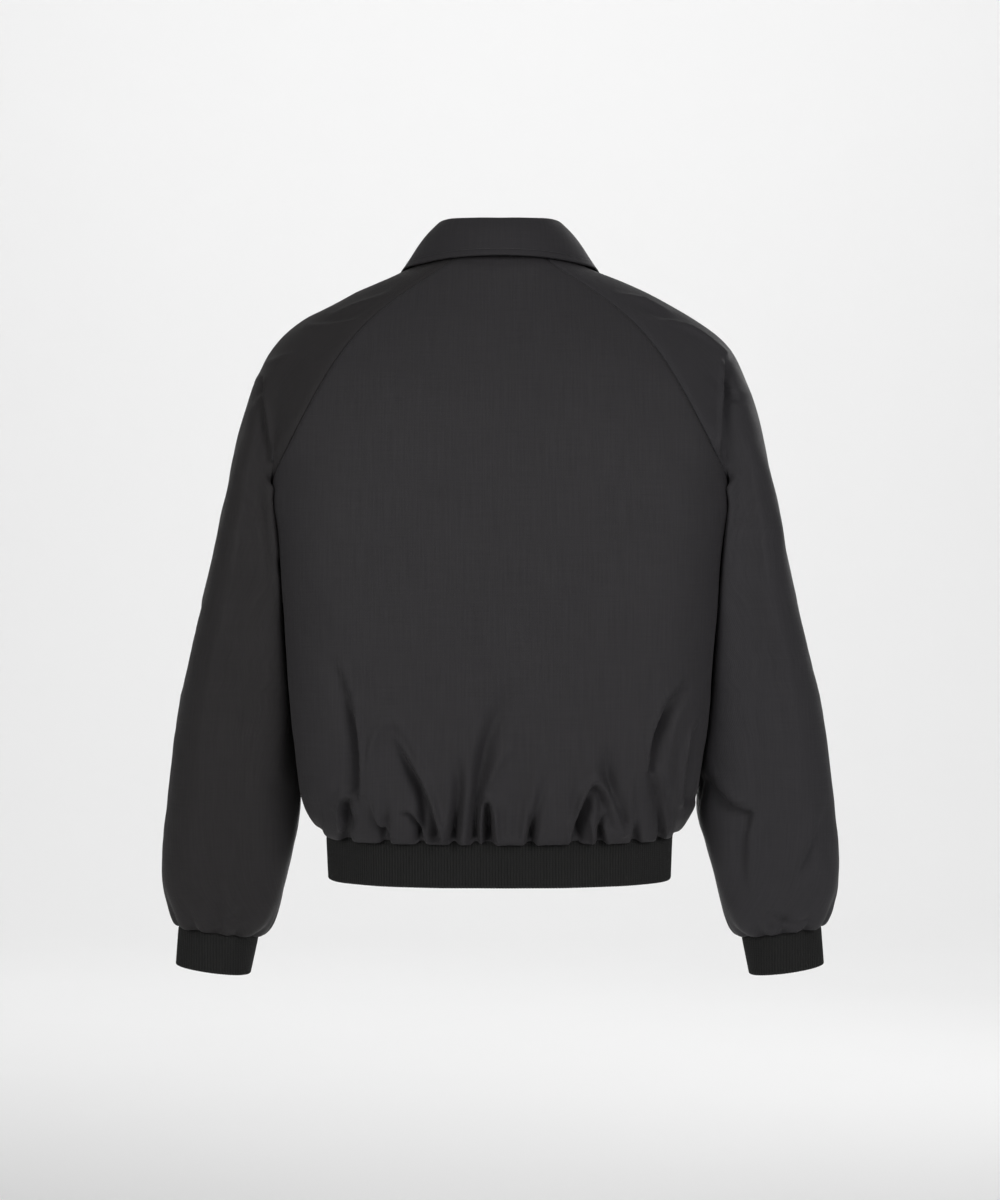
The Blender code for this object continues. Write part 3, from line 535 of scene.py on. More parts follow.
def new_finish(name, values):
    """A material with its node tree and its surface, whose plain values are set here."""
    finish = bpy.data.materials.new(name)
    finish.use_nodes = True
    surface = finish.node_tree.nodes["Principled BSDF"]
    for label, value in values.items():
        surface.inputs[label].default_value = value
    return finish, finish.node_tree, surface


def add_relief(tree, surface, height, strength, deep):
    bump = put(tree, "Bump", [("Height", height), ("Strength", strength), ("Distance", deep * MM)])
    tree.links.new(bump.outputs["Normal"], surface.inputs["Normal"])


def textile_finish(name, group, given, relief, values):
    """A cloth's whole finish, from an effect that follows each piece's own grain."""
    finish, tree, surface = new_finish(name, {"Specular IOR Level": 0.2, **values})
    cloth = tree.nodes.new("ShaderNodeGroup")
    cloth.node_tree = group
    tree.links.new(put(tree, "UVMap", uv_map="grain").outputs["UV"], cloth.inputs["Grain"])
    for label, value in given.items():
        cloth.inputs[label].default_value = value
    tree.links.new(cloth.outputs["Colour"], surface.inputs["Base Color"])
    tree.links.new(cloth.outputs["Roughness"], surface.inputs["Roughness"])
    add_relief(tree, surface, cloth.outputs["Height"], *relief)
    return finish


WOVEN = woven()
WEAVE_DEEP = 0.25


def cloth_finish(name, colour, yarn, slub, mottle, roughness, sheen, relief):
    given = {"Colour": (*colour, 1), "Yarn": yarn, "Slub": slub, "Mottle": mottle, "Roughness": roughness}
    sheens = {"Sheen Weight": sheen, "Sheen Roughness": 0.45, "Sheen Tint": (1, 0.97, 0.95, 1)}
    return textile_finish(name, WOVEN, given, (relief, WEAVE_DEEP), sheens)


BODY_CLOTH = cloth_finish("black_body_cloth", (0.0244, 0.0232, 0.0252), 0.75, 0.30, 0.10, 0.66, 0.03, 0.35)
LINING = cloth_finish("black_lining", (0.016, 0.016, 0.017), 0.4, 0.10, 0.05, 0.45, 0.0, 0.15)


def dress(piece, finish, node, body="jacket", inside=None):
    """Gives a piece its finish, hides the solid that it stands for, and sets it on the body that it rides on."""
    piece.data.materials.append(finish)
    if inside:
        piece.data.materials.append(inside)
        piece.modifiers["thickness"].material_offset = 1
    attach(piece, body)
    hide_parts(node)


dress(back, BODY_CLOTH, "back", inside=LINING)

# ---- Fronts ----
# Two plain fronts of the same cloth meet at the zip. Each is gathered to the hem rib like the back, and its front
# edge is folded under and sewn through to the zip tape.

FRONT_CREASES = (
    (172, -418, 158, -470, 150, -552, 5, 5, 0, 4.2, 4.6, 1),
    (120, -446, 110, -492, 103, -556, 8, 5, 0, 3.8, 6.5, -1),
    (88, -516, 84, -536, 82, -560, 4, 4, 0.4, 4.2, 6, 0),
    (50, -468, 57, -508, 58, -558, 9, 5, 0, 3.4, 6, 1),
    (34, -530, 32, -545, 31, -562, 4, 4, 0.6, 4, 5.5, 0),
    (138, -520, 130, -536, 126, -558, 4, 4, 0.6, 3.6, 4.8, -1),
)
FRONT_TUCKS = (
    (172, 5, 0.9), (150, 4.5, 0.95), (126, 4.5, 0.9), (103, 5, 1.0), (82, 4.5, 0.9), (58, 5, 1.0), (31, 4.5, 0.9),
    (15, 4, 0.8), (6, 5, 0.7),
)


def worn(table, side, columns=CREASE_COLUMNS, across=("top", "middle", "foot")):
    """A table for one side. The wearer's right is the left mirrored, and nudged so that the two sides differ."""
    if side > 0:
        return table
    rows = []
    for k, row in enumerate(table):
        nudge = 4 * math.sin(2.3 * k + 1)
        rows.append(tuple(
            -(value + nudge) if name in across else -value if name == "lean" else value
            for name, value in zip(columns, row)
        ))
    return tuple(rows)


SIDES = ((1, "left"), (-1, "right"))
fronts = {}
for side, name in SIDES:
    tucks = worn(FRONT_TUCKS, side, TUCK_COLUMNS, ("at",))
    fronts[name] = body_panel(f"front_{name}", worn(FRONT_CREASES, side), tucks, -1)
    give_thickness(fronts[name], SHEET_WALL)
    dress(fronts[name], BODY_CLOTH, f"front_{name}", inside=LINING)

# ---- Sleeves ----
# Each raglan sleeve is one panel that runs from the neck over the shoulder to the cuff, with its seam under the
# arm. Worn down at the side it breaks into a long crease beside the body, and it is gathered a little at the cuff.

UNDERARM = (215, -262)
ARMHOLE_POINT = (225, 78, -219)
CUFF_MIDDLE = (285, -38, -668)
CUFF_TILT = math.radians(8)
SLEEVE_BACK_CREASES = {
    "left": (
        (236, -120, 230, -164, 226, -206, 3.6, 5, 5, 6.4, 2.6, 1),
        (229, -232, 223, -300, 212, -380, 6, 9, 1.6, 4.4, 0, 1),
        (236, -124, 243, -132, 248, -150, 4.5, 9, 4.4, 3.4, 0, 0),
        (170, -54, 141, -46, 108, -34, 2.8, 2.6, -0.8, -3.8, -0.6, 0),
        (192, -64, 164, -66, 138, -62, 3, 2.6, -1.2, -3.8, -0.6, 0),
        (178, -60, 150, -56, 124, -47, 5, 5, 0.2, 1.6, 0.4, 0),
        (232, -101, 214, -97, 196, -94, 3.6, 3.6, -1.6, -2.6, -0.4, 0),
        (170, -84, 196, -104, 216, -126, 8, 8, 0, 1.2, 0.6, 0),
        (214, -300, 232, -322, 252, -330, 9, 9, 2.4, 1.4, 0, 0),
        (300, -560, 288, -600, 280, -650, 9, 5, 0, 1.6, 2, 0),
        (240, -470, 226, -520, 222, -570, 14, 12, 0, 2, 0, 0),
        (304, -400, 296, -470, 292, -540, 16, 14, 0, -1.2, 0, 0),
        (268, -652, 258, -646, 246, -640, 4, 4, 2.8, 2.4, 0.6, 0),
        (310, -640, 298, -634, 284, -636, 5, 5, 0, 2, 0.4, 0),
    ),
    "right": (
        (-222, -104, -220, -140, -215, -198, 3.4, 5, 7.5, 9.6, 4.6, -1),
        (-215, -200, -211, -262, -209, -330, 5, 6, 3.4, 4.6, 0, -1),
        (-222, -131, -232, -137, -243, -137, 2.8, 3, 4, 4.6, 0.6, 0),
        (-114, -36, -142, -42, -168, -50, 2.5, 3, -1.6, -5.4, -1, 0),
        (-150, -60, -186, -67, -222, -92, 2.6, 3.6, -1.6, -6, -3.8, 0),
        (-132, -50, -160, -56, -190, -66, 5, 5, 0.4, 2.6, 0.4, 0),
        (-190, -100, -205, -116, -216, -122, 7, 7, 0, 1.6, 1.4, 0),
        (-255, -180, -268, -232, -280, -330, 5, 7, 0, -2.4, 0, 0),
        (-234, -140, -240, -165, -238, -200, 9, 12, 2, 1.8, 0, 0),
        (-203, -514, -222, -537, -243, -545, 8, 7, 6, 11, 7, 1),
        (-241, -550, -238, -588, -243, -640, 8, 10, 6, 6.6, 0, 1),
        (-324, -535, -306, -585, -292, -618, 4.6, 5.5, 0, 4.2, 0, -1),
        (-318, -575, -310, -600, -300, -626, 4.6, 5, 0, 3, 0, 1),
        (-272, -648, -282, -656, -304, -652, 3.6, 3.6, 3, 4.6, 2.2, -1),
        (-262, -640, -268, -648, -271, -658, 3.6, 3.6, 0, 3.6, 4.4, 0),
        (-262, -380, -258, -450, -256, -520, 16, 14, 0, -1.2, 0, 0),
    ),
}
SLEEVE_FRONT_CREASES = (
    (226, -140, 224, -190, 222, -246, 5, 6, 1.6, 3.2, 2.4, 1),
    (222, -246, 216, -310, 208, -372, 7, 9, 2.4, 3.4, 0, 1),
    (150, -62, 178, -70, 206, -86, 5, 5, 0, -1.9, -0.8, 0),
    (176, -100, 198, -114, 216, -130, 8, 7, 0, 1.8, 1.4, 0),
    (226, -300, 250, -330, 280, -336, 10, 10, 2.4, 2.8, 0, 1),
    (228, -366, 256, -384, 288, -380, 9, 10, 2.2, 3.2, 0, 1),
    (232, -430, 256, -446, 290, -436, 9, 10, 2, 2.6, 0, -1),
    (318, -410, 300, -440, 276, -454, 10, 9, 0, 2, 0.4, 0),
    (230, -530, 250, -560, 276, -572, 11, 9, 0.4, 3, 0, 1),
    (326, -540, 308, -590, 292, -628, 7, 7, 0, 2.4, 0.8, -1),
    (262, -610, 268, -636, 272, -656, 6, 4, 0, 2.6, 3.2, 0),
)
SLEEVE_OUTER_CREASES = (
    (14, -150, -6, -170, -30, -176, 9, 9, 0, 1.8, 0.4, 0),
    (30, -330, -4, -352, -36, -350, 10, 10, 0.4, 2.4, 0.2, 1),
    (24, -400, -10, -424, -44, -418, 10, 10, 0.2, 2.2, 0, -1),
    (0, -560, -20, -590, -26, -632, 8, 6, 0, 2.2, 2.2, 0),
    (-50, -560, -46, -600, -44, -640, 8, 5, 0, 2.2, 2.4, 0),
)
CUFF_TUCKS = (
    (-2.7, 0.12, 0.9), (-2.1, 0.1, 0.8), (-1.6, 0.12, 1.0), (-1.05, 0.1, 0.8), (-0.5, 0.12, 0.9), (0.1, 0.1, 0.8),
    (0.65, 0.12, 1.0), (1.15, 0.1, 0.9), (1.62, 0.12, 1.0), (2.05, 0.1, 0.7), (2.5, 0.12, 0.9), (3.0, 0.1, 0.8),
)


def cuff_axis(side):
    return side * math.sin(CUFF_TILT), 0.0, -math.cos(CUFF_TILT)


def sleeve_frame(points, side):
    """How far down the sleeve each point lies, its turn from the outer line, and its place in the slice."""
    out = points[:, 0] * side - UNDERARM[0]
    up = points[:, 2] - UNDERARM[1]
    fan = up > 0
    slope = np.where(fan, np.arctan2(np.maximum(out, -1e3), np.maximum(up, 1e-6)), math.pi / 2)
    reach = np.where(fan, np.hypot(out, up), out)
    down = np.where(fan, (slope - math.pi / 2) * 190, -up)
    middle = np.where(fan, 0.45 * reach, np.interp(-points[:, 2], (262, 668), (30, 70)))
    turn = np.arctan2(points[:, 1] + np.interp(-points[:, 2], (300, 640), (0, 32)), reach - middle)
    return down, turn, np.stack([reach, points[:, 1]], axis=1)


SLEEVE_CLEAR = 2.0
# The heights between which each sleeve leans on the body: where the lean sets in, and where it has faded out.
SLEEVE_LEAN = {"left": ((-210, -228), (-540, -430)), "right": ((-210, -228), (-590, -480))}
INNER_FILL = 2.2
OUTER_FULL = 4.3
LEAN_REACH = 30
LEAN_SOFTENED = 12


def leant_on_body(piece, points, normals, off_seam, side, start, end):
    """Flattens a sleeve's inner side against the body that it hangs beside, and keeps it just clear."""
    mesh = bmesh.new()
    for panel in (back, *fronts.values()):
        mesh.from_mesh(panel.data)
    body = BVHTree.FromBMesh(mesh)
    mesh.free()
    inward = Vector((-side, 0, 0))
    facing = smooth_step(0.0, 0.5, -normals[:, 0] * side)
    level = smooth_step(*start, points[:, 2]) * smooth_step(*end, points[:, 2])
    lean = np.zeros(len(points))
    sewn = smooth_step(2, 20, off_seam)
    for k in np.flatnonzero(facing * level > 0):
        start_at = Vector(points[k]) * MM - inward * LEAN_REACH * MM
        hit, _, _, gap = body.ray_cast(start_at, inward, 2 * LEAN_REACH * MM)
        if hit is not None:
            gap = gap / MM - LEAN_REACH - SLEEVE_CLEAR
            lean[k] = gap * level[k] * (facing[k] if gap > 0 else sewn[k])
    ends = np.empty(len(piece.data.edges) * 2, np.int32)
    piece.data.edges.foreach_get("vertices", ends)
    one, other = ends.reshape(-1, 2).T
    ways = np.bincount(ends, minlength=len(points))
    for _ in range(LEAN_SOFTENED):
        around = np.bincount(one, lean[other], len(points)) + np.bincount(other, lean[one], len(points))
        lean = 0.5 * lean + 0.5 * around / ways
    return points - np.outer(lean, (side, 0, 0))


# The sleeves are one cloth in two tones for how the light falls on them: the left is painted darker and browner,
# as painted shade, and the right a little lighter than the body, as painted light.
SLEEVE_TONE_PAINTED_LIGHT_AND_SHADE = {"left": ((0.0187, 0.0174, 0.0181), 0.12), "right": ((0.0252, 0.0242, 0.0266), 0.10)}
SLEEVE_CLOTH_PAINTED_LIGHT_AND_SHADE = {
    name: cloth_finish(f"black_{name}_sleeve_cloth", colour, 0.75, 0.30, mottle, 0.66, 0.03, 0.35)
    for name, (colour, mottle) in SLEEVE_TONE_PAINTED_LIGHT_AND_SHADE.items()
}
SLEEVE_SQUARED = (-150, -230)
INNER_FROM = (-206, -228)
ELBOW_FULL = ((-330, -450), (-640, -560))
for side, name in SIDES:
    sleeve = made_fine(f"sleeve_{name}_cloth", outside_of(f"sleeve_{name}", SHELL_WALL), 3)
    points, normals = points_of(sleeve)
    set_grain(sleeve, *sleeve_frame(points, side))
    away = rim_distance(sleeve, points)
    off_armhole = rim_distance(sleeve, points, lambda p: p[2] > -400)
    axis = np.array(cuff_axis(side))
    cuff = np.array(CUFF_MIDDLE) * (side, 1, 1)
    above = np.clip((points - cuff) @ -axis, 0, None)
    corner = np.array(ARMHOLE_POINT) * (side, 1, 1)
    off_corner = np.linalg.norm(np.abs(points) - np.abs(corner), axis=1)
    held = smooth_step(0, 7, above) * smooth_step(0, 12, off_armhole) * smooth_step(6, 30, off_corner)
    front = worn(SLEEVE_FRONT_CREASES, side)
    height, sideways = points[:, 2], normals[:, 0] * side
    to_back = smooth_step(-0.15, 0.3, normals[:, 1])
    to_front = smooth_step(-0.15, 0.3, -normals[:, 1])
    to_side = smooth_step(0.2, 0.7, sideways)
    outer = smooth_step(0, 0.3, sideways)
    points = squared(points, normals, held * outer * smooth_step(*SLEEVE_SQUARED, height))
    inner_back = smooth_step(0, 0.3, -sideways) * to_back * smooth_step(*INNER_FROM, points[:, 2])
    loose = smooth_step(0, 7, above) * smooth_step(0, 14, off_armhole)
    points = squared(points, normals, INNER_FILL * inner_back * loose)
    points = leant_on_body(sleeve, points, normals, off_armhole, side, *SLEEVE_LEAN[name])
    full = smooth_step(*ELBOW_FULL[0], points[:, 2]) * smooth_step(*ELBOW_FULL[1], points[:, 2])
    points = points + np.outer(OUTER_FULL * full * outer, (side, 0, 0))
    moved = creased(points, normals * (held * to_back)[:, None], SLEEVE_BACK_CREASES[name], 0)
    moved += creased(points, normals * (held * to_front)[:, None], front, 0) - points
    moved += creased(points, normals * (held * to_side)[:, None], SLEEVE_OUTER_CREASES, 1) - points
    moved = uneven(moved, normals, away, 1.3)
    moved = seamed(moved, normals, np.where(above < 3, NO_SEAM, off_armhole))
    turn = np.arctan2(points[:, 1] - cuff[1], (points[:, 0] - cuff[0]) * side)
    moved = puffed(moved, normals, above, turn, CUFF_TUCKS, axis, 0.55)
    put_points(sleeve, moved)
    give_thickness(sleeve, SHEET_WALL)
    dress(sleeve, SLEEVE_CLOTH_PAINTED_LIGHT_AND_SHADE[name], f"sleeve_{name}", inside=LINING)

# ---- Hem rib and cuffs ----
# The hem band and the cuffs are 1x1 rib knit, folded double, with their ribs upright. Each is cut shorter than the
# edge that it holds and stretched to it as it is sewn, so it draws the cloth in.

RIB_WALL = 3.0
RIB_PITCH = 2.9
RIB_RISE = 0.5
HEM_RIB_CUTS = 12
CUFF_RIB_CUTS = 7
FOLD_ROUND = 2.2
FOLD_CUTS = (0.6, 1.3, 2.2, 3.4)


def rib_profile(round_it, pitch):
    """Round ribs with narrow furrows between them."""
    return np.abs(np.cos(math.pi * round_it / pitch)) ** 0.6 * 2 - 1


def rib_band(name, node, axis, centre, cuts):
    """A knitted band: its solid's outside, divided into ribs, with its free edge rolled in over the fold."""
    mesh = outside_of(node, RIB_WALL)
    heights = [v.co @ Vector(axis) for v in mesh.verts]
    band = made_fine(name, mesh, 2)
    mesh = opened(band.data)
    low = max(heights)
    for above in FOLD_CUTS:
        geometry = mesh.verts[:] + mesh.edges[:] + mesh.faces[:]
        place = Vector(axis) * (low - above * MM)
        bmesh.ops.bisect_plane(mesh, geom=geometry, plane_co=place, plane_no=axis, dist=1e-6)
    level = [
        e for e in mesh.edges
        if abs((e.verts[0].co - e.verts[1].co) @ Vector(axis)) < 0.35 * e.calc_length()
    ]
    bmesh.ops.subdivide_edges(mesh, edges=level, cuts=cuts, use_grid_fill=True)
    mesh.to_mesh(band.data)
    mesh.free()
    points, normals = points_of(band)
    turn = np.arctan2(points[:, 0] - centre[0], points[:, 1] - centre[1])
    down = points @ np.array(axis)
    round_it = set_grain(band, down, turn, points[:, :2], slices=5)
    left = low / MM - down
    over = np.clip(FOLD_ROUND - left, 0, None)
    roll = FOLD_ROUND - np.sqrt(np.clip(FOLD_ROUND ** 2 - over ** 2, 0, None))
    tight = smooth_step(0, 4, down - down.min())
    rise = RIB_RISE * rib_profile(round_it, RIB_PITCH) * (0.35 + 0.65 * tight)
    ripple = 0.5 * np.sin(round_it / 21 + down / 60) + 0.35 * np.sin(round_it / 9.7 + 2)
    points = points + normals * (rise - roll + ripple * tight)[:, None]
    put_points(band, points)
    give_thickness(band, RIB_WALL - 0.4)
    return band


def knitted():
    """The small stitches of a rib knit, in columns down the ribs, with painted shade in the furrows between the
    ribs, painted light on their crests, and the fuzz of a brushed yarn.
    """
    group, given, result = effect(
        "rib_knit",
        (("Grain", "Vector", None), ("Colour", "Color", (0.02, 0.02, 0.02, 1)), ("Rib", "Float", 2.9),
         ("Roughness", "Float", 0.9)),
        (("Colour", "Color"), ("Roughness", "Float"), ("Height", "Float")),
    )
    plus, less, times = arithmetic(group)
    grain = given.outputs["Grain"]
    spot = put(group, "SeparateXYZ", [(0, grain)])
    turns = sums(group, "DIVIDE", PER_METRE, given.outputs["Rib"])
    across = sums(group, "COSINE", times(spot.outputs["X"], turns))
    lean = times(sums(group, "ABSOLUTE", across), 1.8)
    row = sums(group, "SINE", plus(times(spot.outputs["Y"], times(turns, 1.6)), lean))
    fuzz = noise(group, grain, 900.0, 3.0, 0.7)
    drawn = noise(group, drawn_out(group, grain, 240.0, 12.0), 1.0, 2.0)
    # across paints shade into the furrows between the ribs and light onto their crests.
    light = plus(times(across, 0.22), times(row, 0.08))
    light = plus(light, times(less(fuzz, 0.5), 0.5))
    light = plus(plus(light, times(less(drawn, 0.5), 0.35)), 1.0)
    group.links.new(shaded(group, given.outputs["Colour"], light), result.inputs["Colour"])
    group.links.new(plus(given.outputs["Roughness"], times(fuzz, -0.1)), result.inputs["Roughness"])
    group.links.new(plus(times(row, 0.5), fuzz), result.inputs["Height"])
    return group


def rib_finish(name, colour):
    given = {"Colour": (*colour, 1), "Rib": RIB_PITCH, "Roughness": 0.92}
    return textile_finish(name, knitted(), given, (0.5, 0.3), {"Sheen Weight": 0.03, "Sheen Roughness": 0.6})


KNIT = rib_finish("black_rib_knit", (0.0112, 0.0114, 0.0111))
DOWN = (0.0, 0.0, -1.0)
hem_rib = rib_band("hem_rib_knit", "hem_rib", DOWN, (0, 0), HEM_RIB_CUTS)
dress(hem_rib, KNIT, "hem_rib")
for side, name in SIDES:
    centre = (side * CUFF_MIDDLE[0], CUFF_MIDDLE[1])
    cuff = rib_band(f"cuff_{name}_knit", f"cuff_{name}", cuff_axis(side), centre, CUFF_RIB_CUTS)
    dress(cuff, KNIT, f"cuff_{name}")

# ---- Collar ----
# The collar is cut in two: a short stand sewn to the neck, and a leaf that folds over it and falls outside. The
# leaf is doubled and pressed, with one row of stitching beside its edge.

COLLAR_WALL = 2.2
# The collar is the body's cloth painted a little darker, as painted shade.
COLLAR_CLOTH_PAINTED_SHADE = cloth_finish("black_collar_cloth", (0.0226, 0.0214, 0.0236), 0.75, 0.30, 0.10, 0.66, 0.03, 0.35)
stand = made_fine("collar_stand_cloth", outside_of("collar_stand", COLLAR_WALL), 3)
leaf = made_fine("collar_leaf_cloth", outside_of("collar_leaf", COLLAR_WALL), 3)
for piece, node, flat in ((stand, "collar_stand", (0.38, 0.032)), (leaf, "collar_leaf", (0.48, 0.085))):
    points, _ = points_of(piece)
    turn = np.arctan2(points[:, 0], points[:, 1] * 0.8)
    set_grain(piece, points[:, 2], turn, points[:, :2], slices=8)
    give_thickness(piece, COLLAR_WALL - 0.2)
    dress(piece, COLLAR_CLOTH_PAINTED_SHADE, node)


def rim_walk(piece, first, last, past):
    """The sheet's rim, in order, from the point nearest first to the one nearest last, by way of past."""
    mesh = opened(piece.data)
    start = min((v for v in mesh.verts if v.is_boundary), key=lambda v: (v.co - Vector(first) * MM).length)
    loop, came, at = [start], None, start
    while True:
        ways = [e for e in at.link_edges if e.is_boundary and e is not came]
        came = ways[0]
        at = came.other_vert(at)
        if at is start:
            break
        loop.append(at)
    points = np.array([v.co for v in loop]) / MM
    mesh.free()
    end = int(np.argmin(np.linalg.norm(points - last, axis=1)))
    ways = points[: end + 1], np.concatenate([points[:1], points[:end - 1:-1]])
    return min(ways, key=lambda way: np.linalg.norm(way - past, axis=1).min())


def even_steps(path, pitch):
    """Points along a path at even steps, with the way that it runs at each."""
    reach = np.concatenate([[0], np.cumsum(np.linalg.norm(np.diff(path, axis=0), axis=1))])
    at = np.arange(pitch / 2, reach[-1], pitch)
    found = np.stack([np.interp(at, reach, path[:, k]) for k in range(3)], axis=1)
    return found, np.gradient(found, axis=0)


STITCH = (2.5, 0.5, 0.34)
STITCH_PITCH = 3.1
THREAD_LIFT = 0.05
STITCH_DENT = 0.5
STITCH_DENT_WIDTH = 1.5


def stitched(name, piece, path, inset, finish, body="jacket"):
    """A row of lockstitches on a sheet, inset from a path along its rim. The cloth is drawn down under them."""
    mesh = opened(piece.data)
    surface = BVHTree.FromBMesh(mesh)
    mesh.free()
    at, way = even_steps(path, STITCH_PITCH)
    row, thread = [], bmesh.new()
    for place, along in zip(at, way):
        forward = Vector(along).normalized()
        hit, facing, _, _ = surface.find_nearest(Vector(place) * MM)
        into = facing.cross(forward)
        ahead = surface.find_nearest(hit + into * inset * MM)
        behind = surface.find_nearest(hit - into * inset * MM)
        span_ahead, span_behind = [(found[0] - hit).length for found in (ahead, behind)]
        hit, facing = (ahead if span_ahead > span_behind else behind)[:2]
        row.append(hit / MM)
        side = facing.cross(forward).normalized()
        forward = side.cross(facing).normalized()
        turned = Matrix((forward, side, facing)).transposed().to_4x4()
        turned.translation = hit + facing * (STITCH[2] / 2 + THREAD_LIFT) * MM
        made = bmesh.ops.create_uvsphere(thread, u_segments=6, v_segments=5, radius=0.5)["verts"]
        bmesh.ops.rotate(thread, matrix=Matrix.Rotation(math.pi / 2, 3, "Y"), verts=made)
        bmesh.ops.scale(thread, vec=Vector(STITCH) * MM, verts=made)
        bmesh.ops.transform(thread, matrix=turned, verts=made)
    points, normals = points_of(piece)
    dent = STITCH_DENT * np.exp(-((distances(points, row) / STITCH_DENT_WIDTH) ** 2))
    put_points(piece, points - normals * dent[:, None])
    threads = add_piece(name, thread)
    threads.data.materials.append(finish)
    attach(threads, body)


def thread_finish():
    finish, tree, surface = new_finish("black_thread", {"Roughness": 0.45})
    twist = noise(tree, put(tree, "TexCoord").outputs["Object"], 2600.0, 2.0)
    tint = put(tree, "ValToRGB", [("Fac", twist)])
    tint.color_ramp.elements[0].color = (0.018, 0.018, 0.019, 1)
    tint.color_ramp.elements[1].color = (0.05, 0.05, 0.052, 1)
    tree.links.new(tint.outputs["Color"], surface.inputs["Base Color"])
    add_relief(tree, surface, twist, 0.6, 0.1)
    return finish


THREAD = thread_finish()
EDGE_STITCH_IN = 6.5
leaf_edge = rim_walk(leaf, (62, -114, -104), (-62, -114, -104), (0, 84, 0))
stitched("collar_edge_stitches", leaf, leaf_edge, EDGE_STITCH_IN, THREAD)

# ---- Zip ----
# A one-way zip closes the front from the hem rib to the neck: two woven tapes, moulded teeth that mesh in pairs, a
# metal slider with its pull at the top, and a box that holds the two sides together at the bottom.

TAPE_WALL = 0.9
TOOTH = (3.1, 1.7, 1.15)
TOOTH_HEAD = (1.25, 1.7, 1.7)
TOOTH_PITCH = 2.5
TOOTH_OUT = 1.55
TOOTH_HEAD_OUT = 0.1
TOOTH_EDGE = 0.25
CHAIN_ROW = 4
TAPE_CLOTH = cloth_finish("black_zip_tape", (0.013, 0.013, 0.0135), 0.9, 0.35, 0.05, 0.8, 0.0, 0.8)


def metal_finish(name, colour, roughness, metallic):
    """An enamel or a moulding: slight mottling of its surface, with paler scuffs where it has worn."""
    finish, tree, surface = new_finish(name, {"Metallic": metallic})
    place = put(tree, "TexCoord").outputs["Object"]
    coat = noise(tree, place, 900.0, 4.0)
    scuff = noise(tree, place, 260.0, 5.0, 0.7)
    worn = put(tree, "MapRange", [("Value", scuff), ("From Min", 0.62), ("From Max", 0.75)]).outputs["Result"]
    tint = put(tree, "Mix", [("Factor", worn)], data_type="RGBA")
    tint.inputs["A"].default_value = (*colour, 1)
    tint.inputs["B"].default_value = (*(min(1, c * 2.2) for c in colour), 1)
    tree.links.new(tint.outputs["Result"], surface.inputs["Base Color"])
    rough = sums(tree, "ADD", sums(tree, "MULTIPLY", coat, 0.18), roughness - 0.09)
    tree.links.new(rough, surface.inputs["Roughness"])
    add_relief(tree, surface, coat, 0.25, 0.03)
    return finish


ENAMEL = metal_finish("black_enamelled_metal", (0.05, 0.05, 0.052), 0.34, 0.9)
TEETH = metal_finish("black_moulded_teeth", (0.022, 0.022, 0.023), 0.38, 0.0)
chain_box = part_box("zip_chain")
for side, name in SIDES:
    tape = made_fine(f"zip_tape_{name}_cloth", outside_of(f"zip_tape_{name}", TAPE_WALL), 2)
    points, _ = points_of(tape)
    set_grain(tape, points[:, 2], points[:, 0] * 0.01, points[:, :2], slices=20)
    give_thickness(tape, TAPE_WALL - 0.1)
    dress(tape, TAPE_CLOTH, f"zip_tape_{name}")

chain = opened(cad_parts["zip_chain"].data)
bmesh.ops.remove_doubles(chain, verts=chain.verts, dist=WELD * MM)
rows = {}
for v in chain.verts:
    rows.setdefault(round(v.co.z / MM / CHAIN_ROW), []).append(np.array(v.co) / MM)
chain.free()
line = np.array([np.mean(rows[k], axis=0) for k in sorted(rows, reverse=True)])
line[:, 0] = 0
line[0, 2], line[-1, 2] = chain_box[1][2] / MM, chain_box[0][2] / MM
at, way = even_steps(line, TOOTH_PITCH / 2)
teeth = bmesh.new()
for k, (place, along) in enumerate(zip(at, way)):
    side = 1 if k % 2 else -1
    down = Vector(along).normalized()
    across = Vector((side, 0, 0))
    turned = Matrix((across, down.cross(across) * side, down)).transposed().to_4x4()
    turned.translation = Vector(place) * MM
    for size, out in ((TOOTH, TOOTH_OUT), (TOOTH_HEAD, TOOTH_HEAD_OUT)):
        made = bmesh.ops.create_cube(teeth, size=1)["verts"]
        bmesh.ops.scale(teeth, vec=Vector(size) * MM, verts=made)
        bmesh.ops.translate(teeth, vec=(out * MM, 0, 0), verts=made)
        bmesh.ops.transform(teeth, matrix=turned, verts=made)
        edges = {e for v in made for e in v.link_edges}
        bmesh.ops.bevel(
            teeth, geom=list(edges), offset=TOOTH_EDGE * MM, affect="EDGES", segments=1, profile=0.5, material=-1
        )
bmesh.ops.recalc_face_normals(teeth, faces=teeth.faces)
teeth = add_piece("zip_teeth", teeth)
dress(teeth, TEETH, "zip_chain")


CASTING_WELD = 0.002


def softened(name, node, finish, body, radius):
    """A metal part on its solid's form, with the rolled edges of a casting."""
    mesh = opened(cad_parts[node].data)
    bmesh.ops.remove_doubles(mesh, verts=mesh.verts, dist=CASTING_WELD * MM)
    bmesh.ops.dissolve_limit(
        mesh, angle_limit=math.radians(2), verts=mesh.verts, edges=mesh.edges, use_dissolve_boundaries=False
    )
    part = add_piece(name, mesh)
    step = part.modifiers.new("edges", "BEVEL")
    step.width = radius * MM
    step.segments = 2
    step.limit_method = "ANGLE"
    step.angle_limit = math.radians(40)
    dress(part, finish, node, body)


softened("zip_slider_casting", "zip_slider", ENAMEL, "jacket", 0.35)
softened("zip_box_casting", "zip_box", ENAMEL, "jacket", 0.45)
softened("zip_pull_casting", "zip_pull", ENAMEL, "pull", 0.25)

